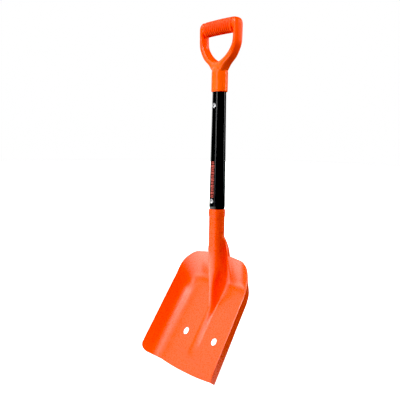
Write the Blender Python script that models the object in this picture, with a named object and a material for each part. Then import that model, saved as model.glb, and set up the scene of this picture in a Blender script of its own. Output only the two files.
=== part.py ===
"""Avalanche shovel with a telescoping D-handle, standing on its digging edge.

Frame: metres, +Z up along the shaft, -Y the front (the hollow side of the
scoop), X across, left at -X. Everything is laid out in millimetres with z = 0
at the mouth of the blade's socket. At the end it is moved so that the origin
is the middle of the footprint at the level of the digging edge.

The scoop has its own coordinates: x across, "down" along its floor and "out"
square to the floor, towards the front.
"""
import math

import bmesh
import bpy
from mathutils import Vector

MM = 0.001
SIDES = (("left", -1), ("right", 1))

# ---- facets round the turned pieces
SEG = 32
SHAFT_SEG = 40
COLLAR_SEG = 36
LOCK_SEG = 24                 # locking holes and button
FASTENER_SEG = 20             # rivets, screw and their holes
BLADE_HOLE_SEG = 28

# ---- shaft
SHAFT_TOP = 269.0             # end of the black tube, hidden in the collar
SHAFT_R_TOP = 15.3            # outer radius at the collar's lower end
SHAFT_R_MOUTH = 17.8          # outer radius just above the socket
SPIGOT_R = 15.6               # swaged end that sits in the socket
SPIGOT_END = -59.0
SPIGOT_BORE_R = 12.6
BORE_R = 13.2
SHOULDER = 5.0                # height of the cone between shaft and spigot
HOLE_LOW = 19.0               # locking hole used when the shovel is packed
HOLE_HIGH = 231.0             # locking hole used when it is extended
LOCK_HOLE_R = 4.7

# ---- telescoping inner tube
INNER_R = 11.9
INNER_BORE_R = INNER_R - 1.5
INNER_TOP = 316.0
INNER_END = -22.0
SLIDE_GAP = 0.3               # radial play of the bushes and round the inner tube
BUSH_LENGTH = 20.0            # of the top bush, inside the shaft
BUTTON_R = 4.2
BUTTON_PROUD = 0.6
SPRING_FRONT, SPRING_BACK = -8.6, 9.2       # y of the two legs
SPRING_LOW, SPRING_HIGH = HOLE_LOW - 7, HOLE_LOW + 44
SPRING_LEAN = 1.2             # how far the front leg leans back up to the bend
SPRING_HALF_W, SPRING_HALF_T = 3.2, 0.35
SPRING_BEND_STEPS = 8

# ---- socket
SHEET = 1.7                   # socket and blade are one pressed sheet
SOCKET_R = 16.75              # middle of the sheet
SOCKET_OUTER_R = SOCKET_R + SHEET / 2
BAND_H = 16.0
BAND_R = 18.6
RIVET_Z = -48.0
RIVET_R, RIVET_HOLE_R = 2.45, 2.75
NECK_TOP = -61.0

# ---- scoop
LIFT = math.radians(31.1)     # the floor leans this far forward of the shaft
FLOOR_Y, FLOOR_Z = 6.6, -202.0
TIP_DOWN = 178.6              # the digging edge at its corners
TIP_BOW = 4.2                 # how much further it reaches in the middle
TOP_DOWN = -21.7              # where a tight fold would turn the floor up into the back
CENTRE_TOP = TOP_DOWN - 36    # where the scoop's first row crosses the middle
FLOOR_W = 88.4                # half width out to the same tight fold at the side
FLOOR_TAPER = 0.035
CORNER_R = 27.0
FOLD_X = 34.0                 # where the fold line starts beside the neck
SIDE_H, BACK_H = 41.9, 46.6
NECK_RISE = 4.0               # extra height of the back beside the neck
CORNER_RISE = 1.8
EDGE_FOLD_R, BACK_EDGE_R = 12.0, 26.0       # tight folds, which set the rim
SIDE_FOLD_TOP, SIDE_FOLD_TIP, BACK_FOLD_R = 36.0, 33.0, 46.0    # real folds
SIDE_ANGLE, BACK_ANGLE = math.radians(57.5), math.radians(44)
SIDE_STEEP = math.radians(67)
FRONT_CORNER = 17.0           # rounding of the wall's corner beside the digging edge
HOLE_X, HOLE_DOWN, HOLE_R = 49.6, 98.2, 8.5
HOLE_CUT = 12.0               # half length of the tool that cuts it

# Half width of the tube that runs on into the floor: (down, half width)
NECK_HALF = [
    (-78.0, 16.75), (-60.0, 12.4), (-38.0, 8.6), (-20.0, 7.4), (10.0, 7.4), (45.0, 8.0),
]
# The bead that follows it: (down, height) and (down, half width)
BEAD_HIGH = [
    (-30.0, 8.0), (0.0, 11.0), (20.0, 12.0), (29.0, 11.0), (46.0, 9.2), (61.0, 7.7),
    (82.0, 6.4), (104.0, 5.3), (126.0, 3.9), (137.0, 2.2), (148.0, 0.0),
]
BEAD_WIDE = [(0.0, 14.0), (82.0, 14.0), (104.0, 15.5), (126.0, 17.5), (148.0, 19.0)]

# ---- mesh of the sheet
RIDGE_DEGREES = [0, 10, 21, 32, 44, 56, 67, 77, 84]     # round the tube from its front
FILLET_X = [1.0, 3.2, 6.5, 10.5, 15.0]                  # past its side
FLOOR_STEPS, FOLD_STEPS, WALL_STEPS = 4, 6, 4
TRAY_ROWS, NECK_ROWS, TUBE_ROWS = 34, 12, 2
SEAM_DEGREES = 174            # last column, beside the seam at the back of the socket

# ---- handle
COLLAR_Z0 = 261.4
COLLAR_R = 18.3
COLLAR_BORE_R = 15.6
SCREW_Z = 289.0
SCREW_HOLE_R = 2.5
ARM_DEPTH = 11.3              # half depths, front to back
CROTCH_DEPTH = 15.5
GRIP_DEPTH = 13.5
GRIP_Z0, GRIP_Z1 = 386.1, 419.3
GRIP_MID = (GRIP_Z0 + GRIP_Z1) / 2
GRIP_HALF_H = (GRIP_Z1 - GRIP_Z0) / 2
GRIP_HALF = 46.0              # half length
GRIP_SAG = 0.0004             # drop of the grip's ends, times x squared
CORE_A, CORE_B = 9.2, 12.0    # half depth and half height of the bar in the grip
CORE_GAP = 0.5                # between the bar and the sleeve
CORE_MID = GRIP_MID - 0.4
CORE_X = (45.6, 28.0, 10.0)   # sections of the bar
RIBS = 13
RIB_H = 1.2
RIB_MARGIN = 4.5              # from the grip's end to the first rib
RIB_TOP = 0.8                 # share of the half height above which the ribs fade
D_POWER, D_COUNT = 3.0, 16    # superellipse section of the D
GRIP_COUNT = 20

# The D from the crotch up one arm to the grip:
# (outer x, outer z, inner x, inner z)
D_OUTLINE = [
    (0.0, 300.4, 0.0, 328.2), (8.7, 302.4, 4.4, 328.6), (17.4, 308.0, 9.8, 329.8),
    (26.2, 319.0, 16.0, 332.3), (36.4, 327.2, 22.6, 336.0), (45.2, 334.2, 28.6, 340.4),
    (52.3, 343.2, 35.8, 347.0), (58.0, 353.6, 42.2, 354.6), (61.2, 363.4, 47.4, 363.6),
    (62.2, 373.6, 49.4, 373.6), (62.2, 385.6, 49.9, 384.6), (62.0, 400.0, 49.6, 390.7),
    (60.6, 408.8, 48.9, 393.7), (56.6, 414.8, 47.9, 395.2), (50.6, 417.6, 46.9, 395.7),
]


# ---- numbers ---------------------------------------------------------------
def smooth(low, high, value):
    share = min(1.0, max(0.0, (value - low) / (high - low)))
    return share * share * (3 - 2 * share)


def lerp(start, end, share):
    return start + (end - start) * share


def steps(table, place):
    """A smooth path through (place, value) pairs."""
    if place <= table[0][0]:
        return table[0][1]
    for (low, start), (high, end) in zip(table, table[1:]):
        if place <= high:
            linear = (place - low) / (high - low)
            return lerp(start, end, smooth(low, high, place) * 0.35 + linear * 0.65)
    return table[-1][1]


# ---- objects ---------------------------------------------------------------
def clear():
    for obj in list(bpy.data.objects):
        bpy.data.objects.remove(obj, do_unlink=True)


def material(name, colour, metallic, roughness):
    mat = bpy.data.materials.new(name)
    mat.use_nodes = True
    shader = mat.node_tree.nodes["Principled BSDF"]
    shader.inputs["Base Color"].default_value = (*colour, 1)
    shader.inputs["Metallic"].default_value = metallic
    shader.inputs["Roughness"].default_value = roughness
    mat.diffuse_color = (*colour, 1)
    return mat


def make_materials():
    return {
        "coat": material("orange_powder_coat", colour=(0.95, 0.13, 0.02),
                         metallic=0.0, roughness=0.38),
        "plastic": material("orange_plastic", colour=(1.0, 0.16, 0.015),
                            metallic=0.0, roughness=0.45),
        "black": material("black_anodised", colour=(0.012, 0.012, 0.014),
                          metallic=0.3, roughness=0.35),
        "aluminium": material("bare_aluminium", colour=(0.78, 0.79, 0.80),
                              metallic=1.0, roughness=0.3),
        "nylon": material("black_nylon", colour=(0.03, 0.03, 0.03),
                          metallic=0.0, roughness=0.55),
        "steel": material("spring_steel", colour=(0.55, 0.55, 0.56),
                          metallic=1.0, roughness=0.35),
    }


def add(name, shape, mat=None):
    """A smooth-shaded object from a shape, which is (verts in mm, faces)."""
    verts, faces = shape
    mesh = bpy.data.meshes.new(name)
    mesh.from_pydata([Vector(vert) * MM for vert in verts], [], faces)
    bm = bmesh.new()
    bm.from_mesh(mesh)
    bmesh.ops.recalc_face_normals(bm, faces=bm.faces)
    bm.to_mesh(mesh)
    bm.free()
    mesh.polygons.foreach_set("use_smooth", [True] * len(mesh.polygons))
    obj = bpy.data.objects.new(name, mesh)
    bpy.context.scene.collection.objects.link(obj)
    if mat is not None:
        mesh.materials.append(mat)
    return obj


def combine(target, name, shape, operation="DIFFERENCE"):
    """Cut a hidden helper out of the target, or join it on with UNION."""
    tool = add(name, shape)
    tool.hide_render = True
    tool.display_type = "WIRE"
    mod = target.modifiers.new(name, "BOOLEAN")
    mod.operation = operation
    mod.solver = "EXACT"
    mod.object = tool


# ---- shapes ----------------------------------------------------------------
def loft(rings, loop=False):
    """Quads between equal rings; the ends are capped, or the last joins the first."""
    size = len(rings[0])
    verts = [point for ring in rings for point in ring]
    faces = []
    for i in range(len(rings) if loop else len(rings) - 1):
        here, there = i * size, ((i + 1) % len(rings)) * size
        for j in range(size):
            k = (j + 1) % size
            faces.append((here + j, here + k, there + k, there + j))
    if not loop:
        faces.append(tuple(range(size))[::-1])
        faces.append(tuple((len(rings) - 1) * size + j for j in range(size)))
    return verts, faces


def around(radius, z, i, seg):
    angle = 2 * math.pi * i / seg
    return radius * math.cos(angle), radius * math.sin(angle), z


def lathe(profile, seg=SEG):
    """A closed (radius, z) outline turned about Z into a ring-shaped solid."""
    return loft([[around(r, z, i, seg) for r, z in profile] for i in range(seg)], loop=True)


def plug(profile, seg=SEG):
    """A solid of revolution about Z from (radius, z) stations."""
    return loft([[around(r, z, i, seg) for i in range(seg)] for r, z in profile])


def rod(radius, start, end, seg):
    return plug([(radius, start), (radius, end)], seg)


def along_x(shape, sign, height):
    """Turn a shape laid along +Z to lie along sign * X at a height."""
    verts, faces = shape
    return [(sign * z, sign * x, height + y) for x, y, z in verts], faces


def along_y(shape, sign, height):
    """Turn a shape laid along +Z to lie along sign * Y at a height."""
    verts, faces = shape
    return [(sign * y, sign * z, height + x) for x, y, z in verts], faces


def superellipse(power, count):
    """Unit (first, second) coordinates round a superellipse."""
    def bulge(value):
        return math.copysign(abs(value) ** (2 / power), value)

    angles = [2 * math.pi * (i + 0.5) / count for i in range(count)]
    return [(bulge(math.cos(angle)), bulge(math.sin(angle))) for angle in angles]


# ---- surface of the scoop --------------------------------------------------
def floor_point(x, down, out):
    return (
        x,
        FLOOR_Y - down * math.sin(LIFT) - out * math.cos(LIFT),
        FLOOR_Z - down * math.cos(LIFT) + out * math.sin(LIFT),
    )


def bead(x, down):
    """Height of the bead that carries the socket's end down the floor and fades out."""
    width = steps(BEAD_WIDE, down)
    if abs(x) >= width:
        return 0.0
    return steps(BEAD_HIGH, down) * (0.5 + 0.5 * math.cos(math.pi * x / width))


def ridge(x, down):
    """A first guess at the raised middle: the tube running down into the floor."""
    axis = (FLOOR_Y - down * math.sin(LIFT)) / math.cos(LIFT)
    low = bead(x, down)
    if x <= SOCKET_R:
        tube = math.sqrt(max(0.0, SOCKET_R * SOCKET_R - x * x))
        return max(axis + tube / math.cos(LIFT), low)
    radius = lerp(9.0, 13.0, smooth(30.0, -20.0, down))
    fillet = 0.0
    if x < SOCKET_R + radius:
        share = (SOCKET_R + radius - x) / radius
        rise = radius * (1 - math.sqrt(max(0.0, 1 - share * share)))
        fillet = min(rise, max(0.0, axis))
    return max(fillet, low)


def tray_gap(down, out):
    """Distance in front of the floor, its rear curve and the rear wall, away from corners."""
    fold_start = TOP_DOWN + (BACK_FOLD_R - BACK_EDGE_R) * math.tan(BACK_ANGLE / 2)
    turn = math.atan2(fold_start - down, BACK_FOLD_R - out)
    if turn <= 0:
        return out
    if turn < BACK_ANGLE:
        return BACK_FOLD_R - math.hypot(fold_start - down, BACK_FOLD_R - out)
    wall_down = fold_start - BACK_FOLD_R * math.sin(BACK_ANGLE)
    wall_out = BACK_FOLD_R * (1 - math.cos(BACK_ANGLE))
    return (out - wall_out) * math.cos(BACK_ANGLE) + (down - wall_down) * math.sin(BACK_ANGLE)


def skin(x, y, z):
    """Distance in front of the sheet: tray and raised middle, blended into each other."""
    rel_y, rel_z = y - FLOOR_Y, z - FLOOR_Z
    down = -rel_y * math.sin(LIFT) - rel_z * math.cos(LIFT)
    out = -rel_y * math.cos(LIFT) + rel_z * math.sin(LIFT)
    tray = tray_gap(down, out) - bead(x, down) * 0.92
    level = (FLOOR_Z - z) / math.cos(LIFT)      # how far down the floor is at this height
    half = steps(NECK_HALF, level)
    neck = math.hypot(x, min(0.0, y - (half - SOCKET_R))) - half
    upper_blend = lerp(24.0, 27.0, smooth(-75.0, -40.0, level))
    blend = lerp(upper_blend, 7.0, smooth(-28.0, 25.0, level))
    share = min(1.0, max(0.0, 0.5 + 0.5 * (neck - tray) / blend))
    return lerp(neck, tray, share) - blend * share * (1 - share)


def pressed(point):
    """The nearest place on the blended sheet, by Newton steps down its slope."""
    x, y, z = point
    step = 0.02
    for _ in range(7):
        gap = skin(x, y, z)
        if abs(gap) < 1e-4:
            break
        slope_x = (skin(x + step, y, z) - skin(x - step, y, z)) / (2 * step)
        slope_y = (skin(x, y + step, z) - skin(x, y - step, z)) / (2 * step)
        slope_z = (skin(x, y, z + step) - skin(x, y, z - step)) / (2 * step)
        steep = max(0.25, slope_x * slope_x + slope_y * slope_y + slope_z * slope_z)
        x -= gap * slope_x / steep
        y -= gap * slope_y / steep
        z -= gap * slope_z / steep
    return x, y, z


def settle(row, weight):
    """Draw the middle of a row onto the blended sheet; the sides stay."""
    settled = []
    for point in row:
        pull = weight * (1 - smooth(34.0, 48.0, abs(point[0])))
        if pull <= 0:
            settled.append(point)
            continue
        target = pressed(point)
        x, y, z = (lerp(old, new, pull) for old, new in zip(point, target))
        settled.append((0.0 if point[0] == 0 else x, y, z))
    return settled


# ---- rows of the sheet -----------------------------------------------------
def fold_line(share):
    """Place on the tight fold from the neck round the corner to the digging edge.

    Returns x, down, the outward direction in x and in down, and how much of
    the place belongs to the back wall (1) rather than the side (0).
    """
    back_run = FLOOR_W - CORNER_R - FOLD_X
    corner_run = CORNER_R * math.pi / 2
    corner_down = TOP_DOWN + CORNER_R
    run = share * (back_run + corner_run + TIP_DOWN - corner_down)
    if run < back_run:
        return FOLD_X + run, TOP_DOWN, 0.0, -1.0, 1.0
    if run < back_run + corner_run:
        angle = (run - back_run) / CORNER_R
        return (
            FLOOR_W - CORNER_R + CORNER_R * math.sin(angle),
            corner_down - CORNER_R * math.cos(angle),
            math.sin(angle),
            -math.cos(angle),
            1 - smooth(0.15, 1.45, angle),
        )
    down = corner_down + run - back_run - corner_run
    return FLOOR_W + FLOOR_TAPER * (down - corner_down), down, 1.0, 0.0, 0.0


def wall_reach(radius, angle, height):
    """How far a fold and the straight wall above it spread outward in a height."""
    return radius * math.sin(angle) + (height - radius * (1 - math.cos(angle))) / math.tan(angle)


def half_row(share):
    """One row of the tray from its middle to the rim on the right."""
    fold_x, fold_down, dir_x, dir_down, back = fold_line(share)
    height = (
        lerp(SIDE_H, BACK_H, back)
        + NECK_RISE * (1 - smooth(0.0, 0.22, share))
        + CORNER_RISE * (4 * back * (1 - back)) ** 2
    )
    # the rim stays on the line a tight fold would give; the rounder wall starts further in
    tight = lerp(EDGE_FOLD_R, BACK_EDGE_R, back)
    slope = lerp(SIDE_ANGLE, BACK_ANGLE, back)
    side_radius = lerp(SIDE_FOLD_TOP, SIDE_FOLD_TIP, smooth(0.0, TIP_DOWN, fold_down))
    radius = lerp(side_radius, BACK_FOLD_R, back)
    angle = lerp(SIDE_STEEP, BACK_ANGLE, back)
    inward = wall_reach(radius, angle, height) - wall_reach(tight, slope, height)
    fold_x -= dir_x * inward
    fold_down -= dir_down * inward
    centre_down = lerp(CENTRE_TOP, TIP_DOWN + TIP_BOW, share**0.92)

    def on_floor(x):
        down = lerp(centre_down, fold_down, min(1.0, x / fold_x) ** 2.3)
        return x, down, ridge(x, down)

    def on_wall(offset, out):
        # the front corner of the side wall is rounded off towards the digging edge
        rise = max(0.0, 1 - (height - out) / (FRONT_CORNER * 1.15))
        rounding = FRONT_CORNER * (1 - math.sqrt(max(0.0, 1 - rise * rise)))
        pull = max(0.0, rounding - (TIP_DOWN - fold_down) * 0.75)
        return fold_x + dir_x * offset, fold_down + dir_down * offset - pull, out

    across = [SOCKET_R * math.sin(math.radians(degrees)) for degrees in RIDGE_DEGREES]
    room = min(1.0, (fold_x - SOCKET_R) / 17.0)
    across += [SOCKET_R + x * room for x in FILLET_X]
    start = across[-1]
    across += [lerp(start, fold_x, i / FLOOR_STEPS) for i in range(1, FLOOR_STEPS + 1)]
    points = [on_floor(x) for x in across]

    for i in range(1, FOLD_STEPS + 1):
        turn = angle * i / FOLD_STEPS
        points.append(on_wall(radius * math.sin(turn), radius * (1 - math.cos(turn))))
    wall_offset, wall_out = radius * math.sin(angle), radius * (1 - math.cos(angle))
    for i in range(1, WALL_STEPS + 1):
        out = lerp(wall_out, height, math.sin(math.pi / 2 * i / WALL_STEPS))
        points.append(on_wall(wall_offset + (out - wall_out) / math.tan(angle), out))
    return [floor_point(*point) for point in points]


def socket_ring():
    """(x, y) of each column round the right half of the socket, front to back seam."""
    rest = FLOOR_STEPS + FOLD_STEPS + WALL_STEPS + len(FILLET_X)
    first = RIDGE_DEGREES[-1]
    degrees = RIDGE_DEGREES + [
        first + (SEAM_DEGREES - first) * (i + 1) / rest for i in range(rest)
    ]
    angles = [math.radians(value) for value in degrees]
    return [(SOCKET_R * math.sin(angle), -SOCKET_R * math.cos(angle)) for angle in angles]


def blade_rows():
    """Socket, neck and tray as one grid, mirrored about the middle."""
    ring = socket_ring()
    rows = []
    for i in range(TUBE_ROWS):
        z = lerp(0, NECK_TOP, i / TUBE_ROWS)
        rows.append([(x, y, z) for x, y in ring])

    tray_start = half_row(0.0)
    for i in range(NECK_ROWS):
        share = i / NECK_ROWS
        open_up = 1 - max(0.0, 1 - share / 0.85) ** 2.4
        row = [
            (lerp(x, tray_x, open_up), lerp(y, tray_y, open_up), lerp(NECK_TOP, tray_z, share))
            for (x, y), (tray_x, tray_y, tray_z) in zip(ring, tray_start)
        ]
        rows.append(settle(row, smooth(0.15, 0.95, share)))

    for i in range(TRAY_ROWS + 1):
        rows.append(settle(half_row(i / TRAY_ROWS), 1.0))
    return [[(-x, y, z) for x, y, z in row[:0:-1]] + row for row in rows]


def thick_sheet(rows, thickness):
    """A closed plate of a thickness about a grid of points."""
    height, width = len(rows), len(rows[0])
    grid = [[Vector(point) for point in row] for row in rows]
    front, rear = [], []
    for i in range(height):
        for j in range(width):
            across = grid[i][min(j + 1, width - 1)] - grid[i][max(j - 1, 0)]
            along = grid[min(i + 1, height - 1)][j] - grid[max(i - 1, 0)][j]
            offset = across.cross(along).normalized() * thickness / 2
            front.append(tuple(grid[i][j] + offset))
            rear.append(tuple(grid[i][j] - offset))

    other = height * width      # index offset of the second face
    faces = []
    for i in range(height - 1):
        for j in range(width - 1):
            a, d = i * width + j, (i + 1) * width + j
            b, c = a + 1, d + 1
            faces.append((a, b, c, d))
            faces.append((other + d, other + c, other + b, other + a))
    for i in range(height - 1):
        for j in (0, width - 1):
            a, d = i * width + j, (i + 1) * width + j
            faces.append((a, d, other + d, other + a))
    for j in range(width - 1):
        for i in (0, height - 1):
            a = i * width + j
            faces.append((a, a + 1, other + a + 1, other + a))
    return front + rear, faces


# ---- blade and socket ------------------------------------------------------
def floor_hole(sign):
    rings = []
    for out in (-HOLE_CUT, HOLE_CUT):
        circle = [around(HOLE_R, out, i, BLADE_HOLE_SEG) for i in range(BLADE_HOLE_SEG)]
        rings.append([floor_point(sign * HOLE_X + x, HOLE_DOWN + y, z) for x, y, z in circle])
    return loft(rings)


def rivet_hole(sign):
    return along_x(rod(RIVET_HOLE_R, 6.0, 30.0, FASTENER_SEG), sign, RIVET_Z)


def build_blade(mats):
    blade = add("blade", thick_sheet(blade_rows(), SHEET), mats["coat"])
    for side, sign in SIDES:
        combine(blade, f"hole_cutter_{side}", floor_hole(sign))
        combine(blade, f"socket_rivet_hole_{side}", rivet_hole(sign))


def build_socket_band(mats):
    inside = SOCKET_OUTER_R + 0.2
    profile = [
        (inside, 0.0), (BAND_R - 0.6, 0.0), (BAND_R, -0.8),
        (BAND_R, -BAND_H + 0.6), (BAND_R - 0.5, -BAND_H), (inside, -BAND_H),
    ]
    add("socket_band", lathe(profile, SHAFT_SEG), mats["coat"])


def build_rivets(mats):
    profile = [
        (RIVET_R - 0.25, 11.2), (RIVET_R, 11.6), (RIVET_R, SOCKET_OUTER_R + 0.3),
        (4.4, SOCKET_OUTER_R + 0.35), (4.2, SOCKET_OUTER_R + 0.9),
        (3.2, SOCKET_OUTER_R + 1.5), (1.4, SOCKET_OUTER_R + 1.8),
    ]
    for side, sign in SIDES:
        rivet = along_x(plug(profile, FASTENER_SEG), sign, RIVET_Z)
        add(f"socket_rivet_{side}", rivet, mats["coat"])


# ---- shaft -----------------------------------------------------------------
def shaft_radius(z):
    return lerp(SHAFT_R_MOUTH, SHAFT_R_TOP, max(0.0, z) / COLLAR_Z0)


def build_shaft(mats):
    cone_top = SHOULDER + 0.6
    profile = [
        (BORE_R, SHAFT_TOP), (shaft_radius(SHAFT_TOP) - 0.4, SHAFT_TOP),
        (shaft_radius(SHAFT_TOP - 0.5), SHAFT_TOP - 0.6), (shaft_radius(130), 130),
        (shaft_radius(cone_top), cone_top), (SPIGOT_R + 1.2, 1.2), (SPIGOT_R, 0.4),
        (SPIGOT_R, SPIGOT_END + 1), (SPIGOT_R - 0.5, SPIGOT_END),
        (SPIGOT_BORE_R, SPIGOT_END), (SPIGOT_BORE_R, -30.0), (BORE_R, -29.0),
    ]
    shaft = add("shaft_tube", lathe(profile, SHAFT_SEG), mats["black"])
    for label, z in (("low", HOLE_LOW), ("high", HOLE_HIGH)):
        hole = along_y(rod(LOCK_HOLE_R, 8.0, 24.0, LOCK_SEG), -1, z)
        combine(shaft, f"lock_hole_{label}", hole)
    for side, sign in SIDES:
        combine(shaft, f"shaft_rivet_hole_{side}", rivet_hole(sign))


def build_shaft_fittings(mats):
    end_plug = [
        (11.0, SPIGOT_END + 6), (12.1, SPIGOT_END + 5), (12.2, SPIGOT_END - 0.4),
        (13.9, SPIGOT_END - 0.5), (13.9, SPIGOT_END - 2.0), (12.8, SPIGOT_END - 3.0),
    ]
    add("shaft_end_plug", plug(end_plug), mats["nylon"])
    inside, outside = INNER_R + SLIDE_GAP, BORE_R - SLIDE_GAP
    top_bush = [
        (inside, SHAFT_TOP + 1.8), (14.2, SHAFT_TOP + 1.8), (14.5, SHAFT_TOP + 1.4),
        (14.5, SHAFT_TOP + 0.3), (outside, SHAFT_TOP + 0.2),
        (outside, SHAFT_TOP - BUSH_LENGTH), (inside, SHAFT_TOP - BUSH_LENGTH),
    ]
    add("shaft_top_bush", lathe(top_bush), mats["nylon"])


# ---- telescoping inner tube ------------------------------------------------
def build_inner_tube(mats):
    profile = [
        (INNER_BORE_R, INNER_TOP), (INNER_R, INNER_TOP),
        (INNER_R, INNER_END), (INNER_BORE_R, INNER_END),
    ]
    inner = add("inner_tube", lathe(profile), mats["aluminium"])
    button_hole = along_y(rod(LOCK_HOLE_R, 6.0, 24.0, LOCK_SEG), -1, HOLE_LOW)
    combine(inner, "button_hole", button_hole)
    screw_hole = along_y(rod(SCREW_HOLE_R, 4.0, 30.0, FASTENER_SEG), 1, SCREW_Z)
    combine(inner, "handle_screw_hole_inner", screw_hole)


def build_inner_bush(mats):
    inside, neck, outside = INNER_BORE_R - 3.0, INNER_BORE_R - 0.35, BORE_R - SLIDE_GAP
    profile = [
        (inside, INNER_END - 2.6), (outside - 0.1, INNER_END - 2.6),
        (outside, INNER_END - 2.0), (outside, INNER_END - 0.4),
        (neck, INNER_END - 0.35), (neck, INNER_END + 14), (inside, INNER_END + 14),
    ]
    add("inner_tube_bush", lathe(profile), mats["nylon"])


def build_snap_spring(mats):
    """A bent strip, one leg behind the button and one on the back of the bore."""
    bend_front = SPRING_FRONT + SPRING_LEAN
    bend_y, bend_r = (bend_front + SPRING_BACK) / 2, (SPRING_BACK - bend_front) / 2
    path = [
        (SPRING_FRONT, SPRING_LOW), (SPRING_FRONT, HOLE_LOW),
        (SPRING_FRONT + 1.0, lerp(HOLE_LOW, SPRING_HIGH, 0.6)),
    ]
    for i in range(SPRING_BEND_STEPS + 1):
        angle = math.pi * (1 - i / SPRING_BEND_STEPS)
        path.append((bend_y + bend_r * math.cos(angle), SPRING_HIGH + bend_r * math.sin(angle)))
    path += [(SPRING_BACK, lerp(SPRING_HIGH, SPRING_LOW, 0.5)), (SPRING_BACK, SPRING_LOW)]

    rings = []
    for k, (y, z) in enumerate(path):
        before_y, before_z = path[max(0, k - 1)]
        after_y, after_z = path[min(len(path) - 1, k + 1)]
        length = math.hypot(after_y - before_y, after_z - before_z)
        off_y = (after_z - before_z) / length * SPRING_HALF_T
        off_z = -(after_y - before_y) / length * SPRING_HALF_T
        rings.append([
            (-SPRING_HALF_W, y - off_y, z - off_z), (SPRING_HALF_W, y - off_y, z - off_z),
            (SPRING_HALF_W, y + off_y, z + off_z), (-SPRING_HALF_W, y + off_y, z + off_z),
        ])
    add("snap_spring", loft(rings), mats["steel"])


def build_snap_button(mats):
    """The button stands in the low hole and keeps its origin on the shaft's axis."""
    face = shaft_radius(HOLE_LOW) + BUTTON_PROUD
    profile = [
        (BUTTON_R, 9.4), (BUTTON_R, face - 1.4), (BUTTON_R - 0.5, face - 0.7),
        (BUTTON_R - 1.4, face - 0.2), (1.6, face),
    ]
    button = add("snap_button", along_y(plug(profile, LOCK_SEG), -1, 0), mats["steel"])
    button.location = (0, 0, HOLE_LOW * MM)


# ---- handle ----------------------------------------------------------------
def arm_depth(z):
    """Half depth of the D by the height of its outer outline."""
    if z < 307:
        return CROTCH_DEPTH
    return lerp(14.0, ARM_DEPTH, smooth(307, 350, z)) + 1.6 * smooth(390, 416, z)


def d_ring():
    """The D as a closed loop of cross-sections between its outer and inner outlines."""
    half = [(*station, arm_depth(station[1])) for station in D_OUTLINE]
    half += [(x, CORE_MID + CORE_B, x, CORE_MID - CORE_B, CORE_A) for x in CORE_X]
    stations = [(1, *entry) for entry in half] + [(-1, *entry) for entry in half[:0:-1]]
    rings = []
    for sign, outer_x, outer_z, inner_x, inner_z, depth in stations:
        outer = Vector((sign * outer_x, 0, outer_z))
        inner = Vector((sign * inner_x, 0, inner_z))
        centre, span = (outer + inner) / 2, outer - inner
        direction, half_span = span.normalized(), span.length / 2
        rings.append([
            tuple(centre + direction * (half_span * first) + Vector((0, depth * second, 0)))
            for first, second in superellipse(D_POWER, D_COUNT)
        ])
    return loft(rings, loop=True)


def build_handle(mats):
    """Collar and D in one moulding, bored for the shaft and the inner tube."""
    handle = add("d_handle", d_ring(), mats["plastic"])
    collar = [
        (COLLAR_R - 1.3, COLLAR_Z0), (COLLAR_R - 0.3, COLLAR_Z0 + 1.2),
        (COLLAR_R, COLLAR_Z0 + 3.5), (COLLAR_R, 304.0), (17.0, 313.0), (12.0, 318.5),
    ]
    combine(handle, "collar_blank", plug(collar, COLLAR_SEG), "UNION")
    bore = [
        (COLLAR_BORE_R, COLLAR_Z0 - 5), (COLLAR_BORE_R, SHAFT_TOP + 3.0),
        (COLLAR_BORE_R - 0.6, SHAFT_TOP + 3.6), (INNER_R + SLIDE_GAP, SHAFT_TOP + 3.6),
        (INNER_R + SLIDE_GAP, INNER_TOP + 0.5),
    ]
    combine(handle, "collar_bore", plug(bore, COLLAR_SEG))
    screw_hole = [(SCREW_HOLE_R, 4.0), (SCREW_HOLE_R, 16.0), (4.4, 17.6), (4.9, 26.0)]
    combine(handle, "handle_screw_hole", along_y(plug(screw_hole, FASTENER_SEG), 1, SCREW_Z))


def build_handle_screw(mats):
    profile = [(1.6, 7.2), (2.2, 8.0), (2.2, 15.8), (4.05, 17.4), (4.05, 17.9)]
    add("handle_screw", along_y(plug(profile, FASTENER_SEG), 1, SCREW_Z), mats["steel"])


def grip_stations():
    """(x, rise) along the sleeve: a rounded end, the ribs, a rounded end."""
    pitch = (2 * GRIP_HALF - 2 * RIB_MARGIN) / RIBS
    stations = [(-GRIP_HALF, -1.8), (-GRIP_HALF + 1.2, -0.3)]
    x = -GRIP_HALF + RIB_MARGIN
    for _ in range(RIBS):
        stations += [
            (x, 0.0), (x + pitch * 0.30, 0.0),
            (x + pitch * 0.42, -RIB_H), (x + pitch * 0.88, -RIB_H),
        ]
        x += pitch
    return stations + [(x, 0.0), (GRIP_HALF - 1.2, -0.3), (GRIP_HALF, -1.8)]


def build_grip_sleeve(mats):
    rings = []
    for x, rise in grip_stations():
        middle = GRIP_MID - GRIP_SAG * x * x
        ring = []
        for first, second in superellipse(2.4, GRIP_COUNT):
            # the ribs stand on the front, the back and the underside; the top is smoother
            full = rise < -RIB_H or second < RIB_TOP
            swell = rise if full else rise * 0.2
            ring.append((x, (GRIP_DEPTH + swell) * first, middle + (GRIP_HALF_H + swell) * second))
        rings.append(ring)
    # the bore of the sleeve, back from the right end to the left
    for x in (GRIP_HALF, -GRIP_HALF):
        rings.append([
            (x, (CORE_A + CORE_GAP) * first, CORE_MID + (CORE_B + CORE_GAP) * second)
            for first, second in superellipse(3.0, GRIP_COUNT)
        ])
    add("grip_sleeve", loft(rings, loop=True), mats["plastic"])


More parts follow.
